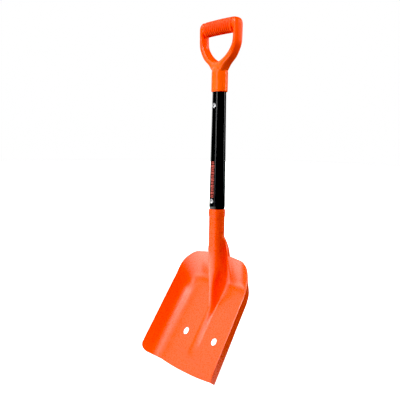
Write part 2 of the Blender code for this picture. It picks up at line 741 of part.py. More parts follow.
# ---- assembly --------------------------------------------------------------
def place_origin():
    """Move everything so the origin is mid-footprint at the digging edge."""
    bpy.context.view_layer.update()
    graph = bpy.context.evaluated_depsgraph_get()
    depths, heights = [], []
    for obj in bpy.context.scene.objects:
        if obj.hide_render:
            continue
        shape = obj.evaluated_get(graph)
        for vert in shape.to_mesh().vertices:
            point = obj.matrix_world @ vert.co
            depths.append(point.y)
            heights.append(point.z)
        shape.to_mesh_clear()
    shift = Vector((0, -(min(depths) + max(depths)) / 2, -min(heights)))
    for obj in bpy.context.scene.objects:
        obj.location += shift
    bpy.context.view_layer.update()


def build():
    clear()
    mats = make_materials()
    build_blade(mats)
    build_socket_band(mats)
    build_shaft(mats)
    build_rivets(mats)
    build_shaft_fittings(mats)
    build_inner_tube(mats)
    build_inner_bush(mats)
    build_snap_spring(mats)
    build_snap_button(mats)
    build_handle(mats)
    build_handle_screw(mats)
    build_grip_sleeve(mats)
    place_origin()


build()
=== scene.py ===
"""Avalanche shovel: a pressed scoop on a round shaft, with a telescopic tube and a D handle.

The shaft runs up +Z, the scoop hangs below it and opens to the front (-Y), and +X is the right
side seen from the front. Shapes are laid out in millimetres from the middle of the socket's mouth.
"""
import math

import bmesh
import bpy
import numpy as np
from mathutils import Matrix, Vector


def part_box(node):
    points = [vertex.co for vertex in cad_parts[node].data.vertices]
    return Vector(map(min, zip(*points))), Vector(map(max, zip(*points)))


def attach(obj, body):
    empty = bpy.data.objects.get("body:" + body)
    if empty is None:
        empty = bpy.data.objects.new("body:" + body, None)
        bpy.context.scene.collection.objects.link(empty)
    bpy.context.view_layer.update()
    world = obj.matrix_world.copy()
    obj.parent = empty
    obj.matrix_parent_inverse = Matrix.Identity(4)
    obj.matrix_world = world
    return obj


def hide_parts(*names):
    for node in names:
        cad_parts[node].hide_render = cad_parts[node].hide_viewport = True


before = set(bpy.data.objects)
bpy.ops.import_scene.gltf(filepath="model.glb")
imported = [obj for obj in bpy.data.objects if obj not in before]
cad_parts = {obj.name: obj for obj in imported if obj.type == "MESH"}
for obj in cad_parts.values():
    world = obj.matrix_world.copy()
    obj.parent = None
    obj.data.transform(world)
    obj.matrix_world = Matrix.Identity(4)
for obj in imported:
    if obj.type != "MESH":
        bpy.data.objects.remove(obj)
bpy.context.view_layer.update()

MM = 0.001

# the socket's mouth in the scene, in mm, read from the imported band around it
_band_low, _band_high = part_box("socket_band")
ORIGIN = Vector((
    (_band_low.x + _band_high.x) / 2,
    (_band_low.y + _band_high.y) / 2,
    _band_high.z,
)) / MM

# ---- shaft (mm) ------------------------------------------------------------
SHAFT_TOP = 269.0
SHAFT_R_TOP = 15.3
SHAFT_R_MOUTH = 17.8
SHOULDER = 5.0           # height where the shaft steps down to the spigot in the socket
SPIGOT_R = 15.6
SPIGOT_END = -59.0
BORE_R = 13.2
HOLE_LOW = 19.0          # heights of the two lock holes
HOLE_HIGH = 231.0
LOCK_HOLE_R = 4.7

# ---- telescopic tube and lock button ---------------------------------------
INNER_R = 11.9
INNER_BORE_R = INNER_R - 1.5
INNER_TOP = 316.0
INNER_END = -22.0
BUTTON_R = 4.2
BUTTON_PROUD = 0.6
BUTTON_DOME = 1.5        # height of the button's rounded end

# ---- socket ----------------------------------------------------------------
SHEET = 1.7              # thickness of the pressed sheet
SOCKET_R = 16.75         # to the middle of the sheet
SOCKET_OUTER_R = SOCKET_R + SHEET / 2
BAND_H = 16.0
BAND_R = 18.6
RIVET_Z = -48.0
RIVET_HOLE_R = 2.75
NECK_TOP = -61.0         # where the round socket starts to open into the scoop

# ---- scoop -----------------------------------------------------------------
# Places on the scoop are (x, down, rise): down runs along the floor to the digging edge,
# rise stands square on the floor towards the front.
LIFT = math.radians(31.1)            # lean of the floor from the vertical
FLOOR_Y = 6.6                        # where down and rise are zero
FLOOR_Z = -202.0
FLOOR_HALF = 88.4
FLOOR_TAPER = 0.035
BACK_DOWN = -21.7                    # fold of the back wall
TIP_DOWN = 178.6                     # digging edge at the sides
TIP_BOW = 4.2                        # how much further it reaches in the middle
CORNER_R = 27.0
FOLD_X0 = 34.0                       # where the back fold line starts beside the neck
SIDE_H = 41.9
BACK_H = 46.6
NECK_RISE = 4.0                      # extra wall height next to the neck
CORNER_RISE = 1.8                    # and at the corners
RIM_SIDE_FOLD_R = 12.0               # tight folds that place the rim
RIM_BACK_FOLD_R = 26.0
RIM_SIDE_ANGLE = math.radians(57.5)
SIDE_FOLD_R_BACK = 36.0              # rounder folds that the walls really have
SIDE_FOLD_R_TIP = 33.0
BACK_FOLD_R = 46.0
SIDE_ANGLE = math.radians(67)
BACK_ANGLE = math.radians(44)
FRONT_CORNER_R = 17.0
SCOOP_HOLE_X = 49.6
SCOOP_HOLE_DOWN = 98.2
SCOOP_HOLE_R = 8.5

# (down, radius) of the raised neck
NECK_RADII = [
    (-78.0, 16.75), (-60.0, 12.4), (-38.0, 8.6), (-20.0, 7.4), (10.0, 7.4), (45.0, 8.0),
]
# (down, height) and (down, half width) of the bead on the floor
BEAD_HEIGHTS = [
    (-30.0, 8.0), (0.0, 11.0), (20.0, 12.0), (29.0, 11.0), (46.0, 9.2), (61.0, 7.7),
    (82.0, 6.4), (104.0, 5.3), (126.0, 3.9), (137.0, 2.2), (148.0, 0.0),
]
BEAD_WIDTHS = [(0.0, 14.0), (82.0, 14.0), (104.0, 15.5), (126.0, 17.5), (148.0, 19.0)]

# mesh of half the sheet, from its middle line to its rim
RIDGE_DEGREES = [3.0 * i for i in range(29)]
FILLET_STEPS = [0.25, 0.7, 1.3, 2.1, 3.1, 4.3, 5.8, 7.6, 9.6, 12.0, 14.5]     # mm past the ridge
FLOOR_STEPS, FOLD_STEPS, WALL_STEPS = 8, 16, 7
TUBE_ROWS, NECK_ROWS, TRAY_ROWS = 12, 44, 150
RIM_DEGREES = 174                    # turn of the rim's corner round the open socket

# ---- handle and grip -------------------------------------------------------
COLLAR_Z0 = 261.4
COLLAR_R = 18.3
COLLAR_BORE_R = 15.6
SCREW_Z = 289.0
SCREW_HOLE_R = 2.5
ARM_DEPTH = 11.3                     # half depth of the handle's arms
GRIP_Z0 = 386.1
GRIP_Z1 = 419.3
GRIP_MID = (GRIP_Z0 + GRIP_Z1) / 2
GRIP_DEPTH = 13.5                    # half depth
GRIP_HALF = 46.0                     # half length
CORE_MID = GRIP_MID - 0.4            # bar through the grip: height, half depth, half height
CORE_DEPTH = 9.2
CORE_HALF_H = 12.0
RIBS = 13
RIB_MARGIN = 4.5                     # plain length at each end of the grip
RIB_PITCH = (2 * GRIP_HALF - 2 * RIB_MARGIN) / RIBS

# (x, z) of the handle's outer line, (x, z) of its inner line, right half
HANDLE_STATIONS = [
    ((0.0, 300.4), (0.0, 328.2)),
    ((8.7, 302.4), (4.4, 328.6)),
    ((17.4, 308.0), (9.8, 329.8)),
    ((26.2, 319.0), (16.0, 332.3)),
    ((36.4, 327.2), (22.6, 336.0)),
    ((45.2, 334.2), (28.6, 340.4)),
    ((52.3, 343.2), (35.8, 347.0)),
    ((58.0, 353.6), (42.2, 354.6)),
    ((61.2, 363.4), (47.4, 363.6)),
    ((62.2, 373.6), (49.4, 373.6)),
    ((62.2, 385.6), (49.9, 384.6)),
    ((62.0, 400.0), (49.6, 390.7)),
    ((60.6, 408.8), (48.9, 393.7)),
    ((56.6, 414.8), (47.9, 395.2)),
    ((50.6, 417.6), (46.9, 395.7)),
]


def smooth(start, end, x):
    """0 at start, 1 at end, eased between."""
    t = min(1.0, max(0.0, (x - start) / (end - start)))
    return t * t * (3 - 2 * t)


def lerp(a, b, t):
    return a + (b - a) * t


def shaft_radius(z):
    return lerp(SHAFT_R_MOUTH, SHAFT_R_TOP, max(0.0, z) / COLLAR_Z0)


# ---------------------------------------------------------------------------
# materials: lengths inside the shaders are in metres
# ---------------------------------------------------------------------------
class Tree:
    """A short way to write shader nodes."""

    def __init__(self, tree):
        self.tree = tree

    def new(self, kind):
        return self.tree.nodes.new("ShaderNode" + kind)

    def link(self, source, target):
        self.tree.links.new(source, target)

    def put(self, node, key, value):
        """Link a socket to an input, or set the input to a plain value."""
        if isinstance(value, bpy.types.NodeSocket):
            self.link(value, node.inputs[key])
        else:
            node.inputs[key].default_value = value

    def math(self, operation, a, b=0.0):
        node = self.new("Math")
        node.operation = operation
        self.put(node, 0, a)
        self.put(node, 1, b)
        return node.outputs[0]

    def add(self, a, b):
        return self.math("ADD", a, b)

    def subtract(self, a, b):
        return self.math("SUBTRACT", a, b)

    def multiply(self, first, *others):
        for other in others:
            first = self.math("MULTIPLY", first, other)
        return first

    def less(self, a, b):
        return self.math("LESS_THAN", a, b)

    def greater(self, a, b):
        return self.math("GREATER_THAN", a, b)

    def length(self, a, b):
        return self.math("SQRT", self.add(self.multiply(a, a), self.multiply(b, b)))

    def remap(self, value, over, to=(0.0, 1.0)):
        """Smoothly carry the span `over` to the span `to`."""
        node = self.new("MapRange")
        self.put(node, "Value", value)
        node.inputs["From Min"].default_value, node.inputs["From Max"].default_value = over
        node.inputs["To Min"].default_value, node.inputs["To Max"].default_value = to
        node.interpolation_type = "SMOOTHSTEP"
        return node.outputs["Result"]

    def window(self, value, low, high, soft):
        """1 between low and high, fading to 0 over `soft` outside them."""
        rise = self.remap(value, over=(low - soft, low))
        fall = self.remap(value, over=(high, high + soft))
        return self.multiply(rise, self.subtract(1.0, fall))

    def split(self, vector):
        node = self.new("SeparateXYZ")
        self.link(vector, node.inputs[0])
        return node.outputs


class Material(Tree):
    """A new material, textured in object coordinates."""

    def __init__(self, name):
        self.material = bpy.data.materials.new(name)
        self.material.use_nodes = True
        super().__init__(self.material.node_tree)
        self.shader = self.tree.nodes["Principled BSDF"]
        self.place = self.new("TexCoord").outputs["Object"]

    def noise(self, scale, detail=2.0, rough=0.5, stretch=(1, 1, 1), distortion=0.0):
        mapping = self.new("Mapping")
        self.link(self.place, mapping.inputs["Vector"])
        mapping.inputs["Scale"].default_value = stretch
        node = self.new("TexNoise")
        self.link(mapping.outputs["Vector"], node.inputs["Vector"])
        node.inputs["Scale"].default_value = scale
        node.inputs["Detail"].default_value = detail
        node.inputs["Roughness"].default_value = rough
        node.inputs["Distortion"].default_value = distortion
        return node.outputs["Fac"]

    def mottle(self, noise, low, high):
        """Two colours, each pure below 0.3 and above 0.7 of the noise."""
        node = self.new("ValToRGB")
        self.link(noise, node.inputs["Fac"])
        for stop, position, colour in zip(node.color_ramp.elements, (0.3, 0.7), (low, high)):
            stop.position = position
            stop.color = (*colour, 1)
        return node.outputs["Color"]

    def mix(self, share, a, b):
        node = self.new("Mix")
        node.data_type = "RGBA"
        self.put(node, 0, share)
        for key, colour in ((6, a), (7, b)):
            self.put(node, key, (*colour, 1) if isinstance(colour, tuple) else colour)
        return node.outputs[2]

    def bump(self, height, strength, distance, normal=None):
        node = self.new("Bump")
        node.inputs["Strength"].default_value = strength
        node.inputs["Distance"].default_value = distance
        self.link(height, node.inputs["Height"])
        if normal is not None:
            self.link(normal, node.inputs["Normal"])
        return node.outputs["Normal"]

    def finish(self, inputs):
        """Set the main shader's inputs and hand the material back."""
        for key, value in inputs.items():
            self.put(self.shader, key, value)
        return self.material


def powder_coat():
    """Satin powder coat: fine orange peel, faint mottling, scuffs towards the digging edge."""
    m = Material("orange_powder_coat")
    cloud = m.noise(scale=9.0, detail=4.0, rough=0.6)
    fine = m.noise(scale=420.0)
    base = m.mottle(cloud, low=(0.745, 0.063, 0.0025), high=(0.785, 0.069, 0.0035))
    near_edge = m.remap(m.split(m.place)[2], over=(0.004, 0.075), to=(1.0, 0.0))
    scuff = m.noise(scale=60.0, detail=6.0, rough=0.7, stretch=(0.25, 1.0, 1.0), distortion=0.6)
    scuffed = m.multiply(near_edge, m.remap(scuff, over=(0.54, 0.68)))
    worn_share = 0.35
    worn_colour = (0.62, 0.030, 0.002)
    worn_roughness = 0.12
    colour = m.mix(m.multiply(scuffed, worn_share), base, worn_colour)
    rough = m.remap(fine, over=(0.3, 0.7), to=(0.25, 0.32))
    peel = m.noise(scale=1500.0, rough=0.45)
    waves = m.bump(m.noise(scale=130.0), strength=0.06, distance=0.0006)
    return m.finish({
        "Base Color": colour,
        "Roughness": m.add(rough, m.multiply(scuffed, worn_roughness)),
        "Normal": m.bump(peel, strength=0.10, distance=0.0002, normal=waves),
        "Specular IOR Level": 0.5,
        "Coat Weight": 0.38,
        "Coat Roughness": 0.22,
    })


def handle_arm_shade(m, base):
    """Painted shade: deeper orange up the handle's arms, standing in for their dimmer light than
    the collar's.
    """
    arm_shade_share = 0.85
    arm_shade_orange = (0.88, 0.060, 0.0022)
    fade = ((ORIGIN.z + 296) * MM, (ORIGIN.z + 372) * MM)
    up = m.remap(m.split(m.place)[2], over=fade)
    return m.mix(m.multiply(up, arm_shade_share), base, arm_shade_orange)


def groove_shade(m, base):
    """Painted shade in the grooves between the grip's ribs, fading out towards the top."""
    groove_shade_share = 0.85
    groove_shade_colour = (0.30, 0.012, 0.0010)
    sharpness = 1.6
    x, y, z = m.split(m.place)
    count = m.math("DIVIDE", m.add(x, (GRIP_HALF - RIB_MARGIN) * MM), RIB_PITCH * MM)
    cosine = m.math("COSINE", m.multiply(count, 2 * math.pi))
    wave = m.subtract(0.5, m.multiply(cosine, 0.5))
    inside = m.multiply(
        m.remap(count, over=(0.1, 0.5)),
        m.remap(count, over=(RIBS - 0.5, RIBS - 0.1), to=(1.0, 0.0)),
    )
    middle = (ORIGIN.z + GRIP_MID) * MM
    lower = m.remap(z, over=(middle - 1 * MM, middle + 9 * MM), to=(1.0, 0.30))
    groove = m.multiply(m.math("POWER", wave, sharpness), inside, lower)
    return m.mix(m.multiply(groove, groove_shade_share), base, groove_shade_colour)


def moulded(name, low, high, rough, specular, shading_paint=None):
    """Moulded plastic with a fine spark-eroded texture, and painted shade laid on its colour when a
    shading function is given.
    """
    m = Material(name)
    base = m.mottle(m.noise(scale=22.0, detail=3.0, rough=0.55), low, high)
    if shading_paint:
        base = shading_paint(m, base)
    grain = m.noise(scale=2600.0, detail=3.0, rough=0.6)
    waves = m.bump(m.noise(scale=160.0), strength=0.05, distance=0.0008)
    return m.finish({
        "Base Color": base,
        "Roughness": m.remap(grain, over=(0.3, 0.7), to=rough),
        "Normal": m.bump(grain, strength=0.16, distance=0.00012, normal=waves),
        "Specular IOR Level": specular,
    })


# printed bars on the shaft: heights in metres, widths in radians round the tube,
# gaps and slots as shares of one bar's pitch
PRINT_LOW, PRINT_HIGH, PRINT_BARS = 0.0262, 0.1085, 11
PRINT_GAP = (0.14, 0.86)             # the inked span of each pitch
PRINT_SLOT = 0.10                    # half height of the slot in a bar
PRINT_TURN = 0.09                    # centre of the bars, to the right of the front line
PRINT_HALF, PRINT_HALF_EXTRA = 0.235, 0.045      # half width, and more on every other bar
SLOT_START, SLOT_START_EXTRA = 0.12, 0.16        # the slot's closed end, left of centre
PRINT_COLOUR = (0.36, 0.060, 0.045)
CUT_EDGE = 0.45                      # mm of bare metal round a lock hole
CUT_EDGE_COLOUR = (0.62, 0.62, 0.64)


def printed_bars(m, x, y, height):
    """Mask of the printed bars, slightly speckled."""
    angle = m.math("ARCTAN2", x, m.subtract(ORIGIN.y * MM, y))      # 0 on the front line
    pitch = (PRINT_HIGH - PRINT_LOW) / PRINT_BARS
    along = m.math("DIVIDE", m.subtract(height, PRINT_LOW), pitch)
    bar_number = m.math("FLOOR", along)
    share = m.math("FRACT", along)
    inside = m.multiply(m.greater(height, PRINT_LOW), m.less(height, PRINT_HIGH))
    bar = m.multiply(m.greater(share, PRINT_GAP[0]), m.less(share, PRINT_GAP[1]))
    slot = m.less(m.math("ABSOLUTE", m.subtract(share, 0.5)), PRINT_SLOT)
    odd = m.math("MODULO", bar_number, 2.0)
    half = m.add(PRINT_HALF, m.multiply(odd, PRINT_HALF_EXTRA))
    off = m.subtract(angle, PRINT_TURN)
    wide = m.less(m.math("ABSOLUTE", off), half)
    open_side = m.greater(off, m.subtract(m.multiply(odd, SLOT_START_EXTRA), SLOT_START))
    uncut = m.subtract(1.0, m.multiply(slot, open_side))
    ink = m.multiply(m.multiply(inside, bar), m.multiply(wide, uncut))
    return m.multiply(ink, m.remap(m.noise(scale=900.0), over=(0.28, 0.40), to=(0.55, 1.0)))


def black_tube():
    """Black anodised tube with drawn-tube streaks, printed bars and bare lock hole edges."""
    m = Material("black_anodised_aluminium")
    x, y, z = m.split(m.place)
    height = m.subtract(z, ORIGIN.z * MM)
    ink = printed_bars(m, x, y, height)
    cloud = m.noise(scale=30.0, detail=3.0)
    base = m.mottle(cloud, low=(0.0008, 0.0008, 0.0012), high=(0.0018, 0.0018, 0.0024))
    front = m.less(y, ORIGIN.y * MM)
    for hole in (HOLE_LOW, HOLE_HIGH):
        away = m.length(x, m.subtract(height, hole * MM))
        cut_edge = m.multiply(front, m.less(away, (LOCK_HOLE_R + CUT_EDGE) * MM))
        base = m.mix(cut_edge, base, CUT_EDGE_COLOUR)
    streak = m.noise(scale=900.0, detail=3.0, rough=0.55, stretch=(1.0, 1.0, 0.02))
    rough = m.remap(streak, over=(0.3, 0.7), to=(0.20, 0.29))
    ink_roughness = 0.15
    ink_step = m.bump(ink, strength=0.2, distance=0.00005)
    return m.finish({
        "Base Color": m.mix(ink, base, PRINT_COLOUR),
        "Roughness": m.add(rough, m.multiply(ink, ink_roughness)),
        "Normal": m.bump(streak, strength=0.05, distance=0.0001, normal=ink_step),
        "Metallic": 0.0,
        "Specular IOR Level": 0.55,
    })


def metal(name, colour, rough, scale=1400.0, stretch=(1.0, 1.0, 0.03), strength=0.08,
          metallic=1.0):
    """Drawn or brushed bare metal."""
    m = Material(name)
    lines = m.noise(scale=scale, detail=3.0, rough=0.6, stretch=stretch)
    cloud = m.noise(scale=40.0, detail=3.0)
    darkening = 0.86
    dark = tuple(channel * darkening for channel in colour)
    return m.finish({
        "Base Color": m.mottle(cloud, low=dark, high=colour),
        "Roughness": m.remap(lines, over=(0.3, 0.7), to=(rough - 0.06, rough + 0.08)),
        "Normal": m.bump(lines, strength=strength, distance=0.0001),
        "Metallic": metallic,
    })


MATERIALS = {
    "orange_powder_coat": powder_coat(),
    # the handle's plastic, with painted shade deepening its colour up the arms
    "orange_plastic": moulded(
        "orange_plastic", low=(0.86, 0.088, 0.0020), high=(0.91, 0.098, 0.0030),
        rough=(0.27, 0.35), specular=0.48, shading_paint=handle_arm_shade),
    # the grip's plastic, with painted shade in the grooves between its ribs
    "orange_grip_plastic": moulded(
        "orange_grip_plastic", low=(0.80, 0.052, 0.0020), high=(0.86, 0.060, 0.0030),
        rough=(0.50, 0.62), specular=0.28, shading_paint=groove_shade),
    "black_anodised_aluminium": black_tube(),
    "bare_aluminium": metal(
        "bare_aluminium", colour=(0.86, 0.87, 0.88), rough=0.40, metallic=0.15),
    "black_nylon": moulded(
        "black_nylon", low=(0.010, 0.010, 0.011), high=(0.018, 0.018, 0.019),
        rough=(0.45, 0.6), specular=0.28),
    "stainless_steel": metal(
        "stainless_steel", colour=(0.62, 0.62, 0.63), rough=0.28, scale=900.0,
        stretch=(1, 1, 1), strength=0.04),
    "spring_steel": metal(
        "spring_steel", colour=(0.45, 0.45, 0.47), rough=0.34, scale=1200.0,
        stretch=(0.05, 1, 1)),
}


# ---------------------------------------------------------------------------
# mesh helpers: a solid is a pair (vertices in mm, faces)
# ---------------------------------------------------------------------------
def mesh_object(name, solid):
    verts, faces = solid
    mesh = bpy.data.meshes.new(name)
    mesh.from_pydata(((np.array(verts, float) + np.array(ORIGIN)) * MM).tolist(), [], faces)
    bm = bmesh.new()
    bm.from_mesh(mesh)
    bmesh.ops.recalc_face_normals(bm, faces=bm.faces)
    bm.to_mesh(mesh)
    bm.free()
    obj = bpy.data.objects.new(name, mesh)
    bpy.context.scene.collection.objects.link(obj)
    return obj


def apply_modifiers(obj):
    bpy.context.view_layer.update()
    graph = bpy.context.evaluated_depsgraph_get()
    fresh = bpy.data.meshes.new_from_object(obj.evaluated_get(graph))
    obj.modifiers.clear()
    obj.data = fresh


def combine(obj, operation, solids):
    """Cut solids out of an object, or join them to it."""
    tools = []
    for k, solid in enumerate(solids):
        tool = mesh_object(f"{obj.name}_tool_{k}", solid)
        modifier = obj.modifiers.new(f"combine_{k}", "BOOLEAN")
        modifier.operation = operation
        modifier.solver = "EXACT"
        modifier.object = tool
        tools.append(tool)
    apply_modifiers(obj)
    for tool in tools:
        bpy.data.objects.remove(tool)


def finish_piece(obj, material, body, node, degrees=40):
    """Material, shading with sharp edges above `degrees`, and the piece's place in the frame."""
    obj.data.materials.clear()
    obj.data.materials.append(MATERIALS[material])
    obj.data.shade_smooth()
    obj.data.set_sharp_from_angle(angle=math.radians(degrees))
    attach(obj, body)
    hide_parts(node)


def loft(rings, loop=False):
    """Skin over rings of points; the ends are capped unless the rings close in a loop."""
    count = len(rings[0])
    verts = [point for ring in rings for point in ring]
    faces = []
    for i in range(len(rings) if loop else len(rings) - 1):
        this, following = i * count, ((i + 1) % len(rings)) * count
        for j in range(count):
            k = (j + 1) % count
            faces.append((this + j, this + k, following + k, following + j))
    if not loop:
        faces.append(tuple(range(count))[::-1])
        faces.append(tuple((len(rings) - 1) * count + j for j in range(count)))
    return verts, faces


def lathe(profile, segments):
    """Ring turned from a closed (radius, z) outline."""
    rings = []
    for i in range(segments):
        angle = 2 * math.pi * i / segments
        rings.append([(r * math.cos(angle), r * math.sin(angle), z) for r, z in profile])
    return loft(rings, loop=True)


def plug(profile, segments):
    """Solid round body from an open (radius, z) outline."""
    angles = [2 * math.pi * i / segments for i in range(segments)]
    return loft([[(r * math.cos(a), r * math.sin(a), z) for a in angles] for r, z in profile])


def side_plug(axis, height, profile, segments):
    """Plug pointing out of the shaft along x, -x, y or -y; profile is (radius, distance)."""
    verts, faces = plug(profile, segments)
    sign = -1 if axis[0] == "-" else 1
    if axis[-1] == "x":
        return [(sign * z, sign * x, height + y) for x, y, z in verts], faces
    return [(sign * y, sign * z, height + x) for x, y, z in verts], faces


def arc(centre_r, centre_z, radius, start, end, count):
    """(radius, z) points along an arc, angles in degrees."""
    angles = [math.radians(lerp(start, end, i / count)) for i in range(count + 1)]
    return [(centre_r + radius * math.cos(a), centre_z + radius * math.sin(a)) for a in angles]


def rivet_holes():
    profile = [(RIVET_HOLE_R, 6.0), (RIVET_HOLE_R, 30.0)]
    return [side_plug(axis, RIVET_Z, profile, 32) for axis in ("-x", "x")]


# ---------------------------------------------------------------------------
# scoop, neck and socket: one pressed sheet
# ---------------------------------------------------------------------------
def floor_point(x, down, rise):
    return (
        x,
        FLOOR_Y - down * math.sin(LIFT) - rise * math.cos(LIFT),
        FLOOR_Z - down * math.cos(LIFT) + rise * math.sin(LIFT),
    )


def fold_line(t):
    """The walls' fold from beside the neck (t = 0), round the corner, to the tip (t = 1).

    Returns x, down, the outward direction (x, down) and the back wall's share.
    """
    back = FLOOR_HALF - CORNER_R - FOLD_X0
    turn = CORNER_R * math.pi / 2
    side = TIP_DOWN - (BACK_DOWN + CORNER_R)
    run = t * (back + turn + side)
    if run < back:
        return FOLD_X0 + run, BACK_DOWN, 0.0, -1.0, 1.0
    if run < back + turn:
        a = (run - back) / CORNER_R
        return (
            FLOOR_HALF - CORNER_R + CORNER_R * math.sin(a),
            BACK_DOWN + CORNER_R - CORNER_R * math.cos(a),
            math.sin(a),
            -math.cos(a),
            1 - smooth(0.15, 1.45, a),
        )
    down = BACK_DOWN + CORNER_R + run - back - turn
    return FLOOR_HALF + FLOOR_TAPER * (down - BACK_DOWN - CORNER_R), down, 1.0, 0.0, 0.0


def along_table(table, place):
    """A smooth path through (place, value) pairs."""
    if place <= table[0][0]:
        return table[0][1]
    for (start, before), (end, after) in zip(table, table[1:]):
        if place <= end:
            straight = (place - start) / (end - start)
            return lerp(before, after, smooth(start, end, place) * 0.35 + straight * 0.65)
    return table[-1][1]


def bead(x, down):
    """Long raised bead that carries the socket's end down the floor and fades out."""
    half = along_table(BEAD_WIDTHS, down)
    if abs(x) >= half:
        return 0.0
    return along_table(BEAD_HEIGHTS, down) * (0.5 + 0.5 * math.cos(math.pi * x / half))


def ridge(x, down):
    """A first guess at the raised middle (x from 0 up): the tube running into the floor."""
    axis = (FLOOR_Y - down * math.sin(LIFT)) / math.cos(LIFT)
    low = bead(x, down)
    if x <= SOCKET_R:
        tube = math.sqrt(max(0.0, SOCKET_R * SOCKET_R - x * x))
        return max(axis + tube / math.cos(LIFT), low)
    fillet_r = lerp(9.0, 13.0, smooth(30.0, -20.0, down))
    fillet = 0.0
    if x < SOCKET_R + fillet_r:
        q = (SOCKET_R + fillet_r - x) / fillet_r
        fillet = min(fillet_r * (1 - math.sqrt(max(0.0, 1 - q * q))), max(0.0, axis))
    return max(fillet, low)


def tray_gap(down, rise):
    """Distance in front of the floor, its rear curve and the rear wall, away from the corners."""
    start = BACK_DOWN + (BACK_FOLD_R - RIM_BACK_FOLD_R) * math.tan(BACK_ANGLE / 2)
    turn = math.atan2(start - down, BACK_FOLD_R - rise)
    if turn <= 0:
        return rise
    if turn < BACK_ANGLE:
        return BACK_FOLD_R - math.hypot(start - down, BACK_FOLD_R - rise)
    wall_down = start - BACK_FOLD_R * math.sin(BACK_ANGLE)
    wall_rise = BACK_FOLD_R * (1 - math.cos(BACK_ANGLE))
    return (rise - wall_rise) * math.cos(BACK_ANGLE) + (down - wall_down) * math.sin(BACK_ANGLE)


def sheet_gap(x, y, z):
    """Distance in front of the pressed sheet: tray and neck, blended into each other."""
    dy, dz = y - FLOOR_Y, z - FLOOR_Z
    down = -dy * math.sin(LIFT) - dz * math.cos(LIFT)
    rise = -dy * math.cos(LIFT) + dz * math.sin(LIFT)
    tray = tray_gap(down, rise) - bead(x, down) * 0.92
    level = (FLOOR_Z - z) / math.cos(LIFT)          # where the floor itself has this height
    radius = along_table(NECK_RADII, level)
    neck = math.hypot(x, min(0.0, y - (radius - SOCKET_R))) - radius
    upper_blend = lerp(24.0, 27.0, smooth(-75.0, -40.0, level))
    blend = lerp(upper_blend, 7.0, smooth(-28.0, 25.0, level))
    share = min(1.0, max(0.0, 0.5 + 0.5 * (neck - tray) / blend))
    return lerp(neck, tray, share) - blend * share * (1 - share)


def pressed(point):
    """The nearest place on the blended sheet, by steps along the gap's slope."""
    x, y, z = point
    e = 0.02
    for _ in range(7):
        gap = sheet_gap(x, y, z)
        if abs(gap) < 1e-4:
            break
        gx = (sheet_gap(x + e, y, z) - sheet_gap(x - e, y, z)) / (2 * e)
        gy = (sheet_gap(x, y + e, z) - sheet_gap(x, y - e, z)) / (2 * e)
        gz = (sheet_gap(x, y, z + e) - sheet_gap(x, y, z - e)) / (2 * e)
        steepness = max(0.25, gx * gx + gy * gy + gz * gz)
        x, y, z = x - gap * gx / steepness, y - gap * gy / steepness, z - gap * gz / steepness
    return x, y, z


def settle(row, weight):
    """Move the middle of a row onto the blended sheet; the middle line keeps x = 0."""
    out = []
    for point in row:
        share = weight * (1 - smooth(34.0, 48.0, abs(point[0])))
        if share <= 0:
            out.append(point)
            continue
        target = pressed(point)
        x = 0.0 if point[0] == 0 else lerp(point[0], target[0], share)
        out.append((x, lerp(point[1], target[1], share), lerp(point[2], target[2], share)))
    return out


def wall_reach(radius, angle, height):
    """How far outside its fold line a wall of this height ends."""
    return radius * math.sin(angle) + (height - radius * (1 - math.cos(angle))) / math.tan(angle)


def half_row(t):
    """One row of the tray, from the middle line over floor and fold to the rim."""
    fold_x, fold_down, out_x, out_down, back = fold_line(t)
    height = (lerp(SIDE_H, BACK_H, back) + NECK_RISE * (1 - smooth(0.0, 0.22, t))
              + CORNER_RISE * (4 * back * (1 - back)) ** 2)
    # the rim stays on the line a tight fold would give; the real, rounder wall starts further in
    reach = wall_reach(lerp(RIM_SIDE_FOLD_R, RIM_BACK_FOLD_R, back),
                       lerp(RIM_SIDE_ANGLE, BACK_ANGLE, back), height)
    side_r = lerp(SIDE_FOLD_R_BACK, SIDE_FOLD_R_TIP, smooth(0.0, TIP_DOWN, fold_down))
    radius = lerp(side_r, BACK_FOLD_R, back)
    angle = lerp(SIDE_ANGLE, BACK_ANGLE, back)
    inward = wall_reach(radius, angle, height) - reach
    fold_x, fold_down = fold_x - out_x * inward, fold_down - out_down * inward
    middle_down = lerp(BACK_DOWN - 36, TIP_DOWN + TIP_BOW, t**0.92)
    points = []

    def add_floor(x):
        down = lerp(middle_down, fold_down, min(1.0, x / fold_x) ** 2.3)
        points.append((x, down, ridge(x, down)))

    def add_wall(off, rise):
        # the wall's front corner is rounded off towards the digging edge
        q = max(0.0, 1 - (height - rise) / (FRONT_CORNER_R * 1.15))
        rounding = FRONT_CORNER_R * (1 - math.sqrt(max(0.0, 1 - q * q)))
        pull = max(0.0, rounding - (TIP_DOWN - fold_down) * 0.75)
        points.append((fold_x + out_x * off, fold_down + out_down * off - pull, rise))

    for degrees in RIDGE_DEGREES:
        add_floor(SOCKET_R * math.sin(math.radians(degrees)))
    room = min(1.0, (fold_x - SOCKET_R) / 17.0)
    for step in FILLET_STEPS:
        add_floor(SOCKET_R + step * room)
    start = points[-1][0]
    for i in range(1, FLOOR_STEPS + 1):
        add_floor(lerp(start, fold_x, i / FLOOR_STEPS))
    for i in range(1, FOLD_STEPS + 1):
        a = angle * i / FOLD_STEPS
        add_wall(radius * math.sin(a), radius * (1 - math.cos(a)))
    fold_off, fold_rise = radius * math.sin(angle), radius * (1 - math.cos(angle))
    for i in range(1, WALL_STEPS + 1):
        rise = lerp(fold_rise, height, math.sin(math.pi / 2 * i / WALL_STEPS))
        add_wall(fold_off + (rise - fold_rise) / math.tan(angle), rise)
    return [floor_point(*p) for p in points]


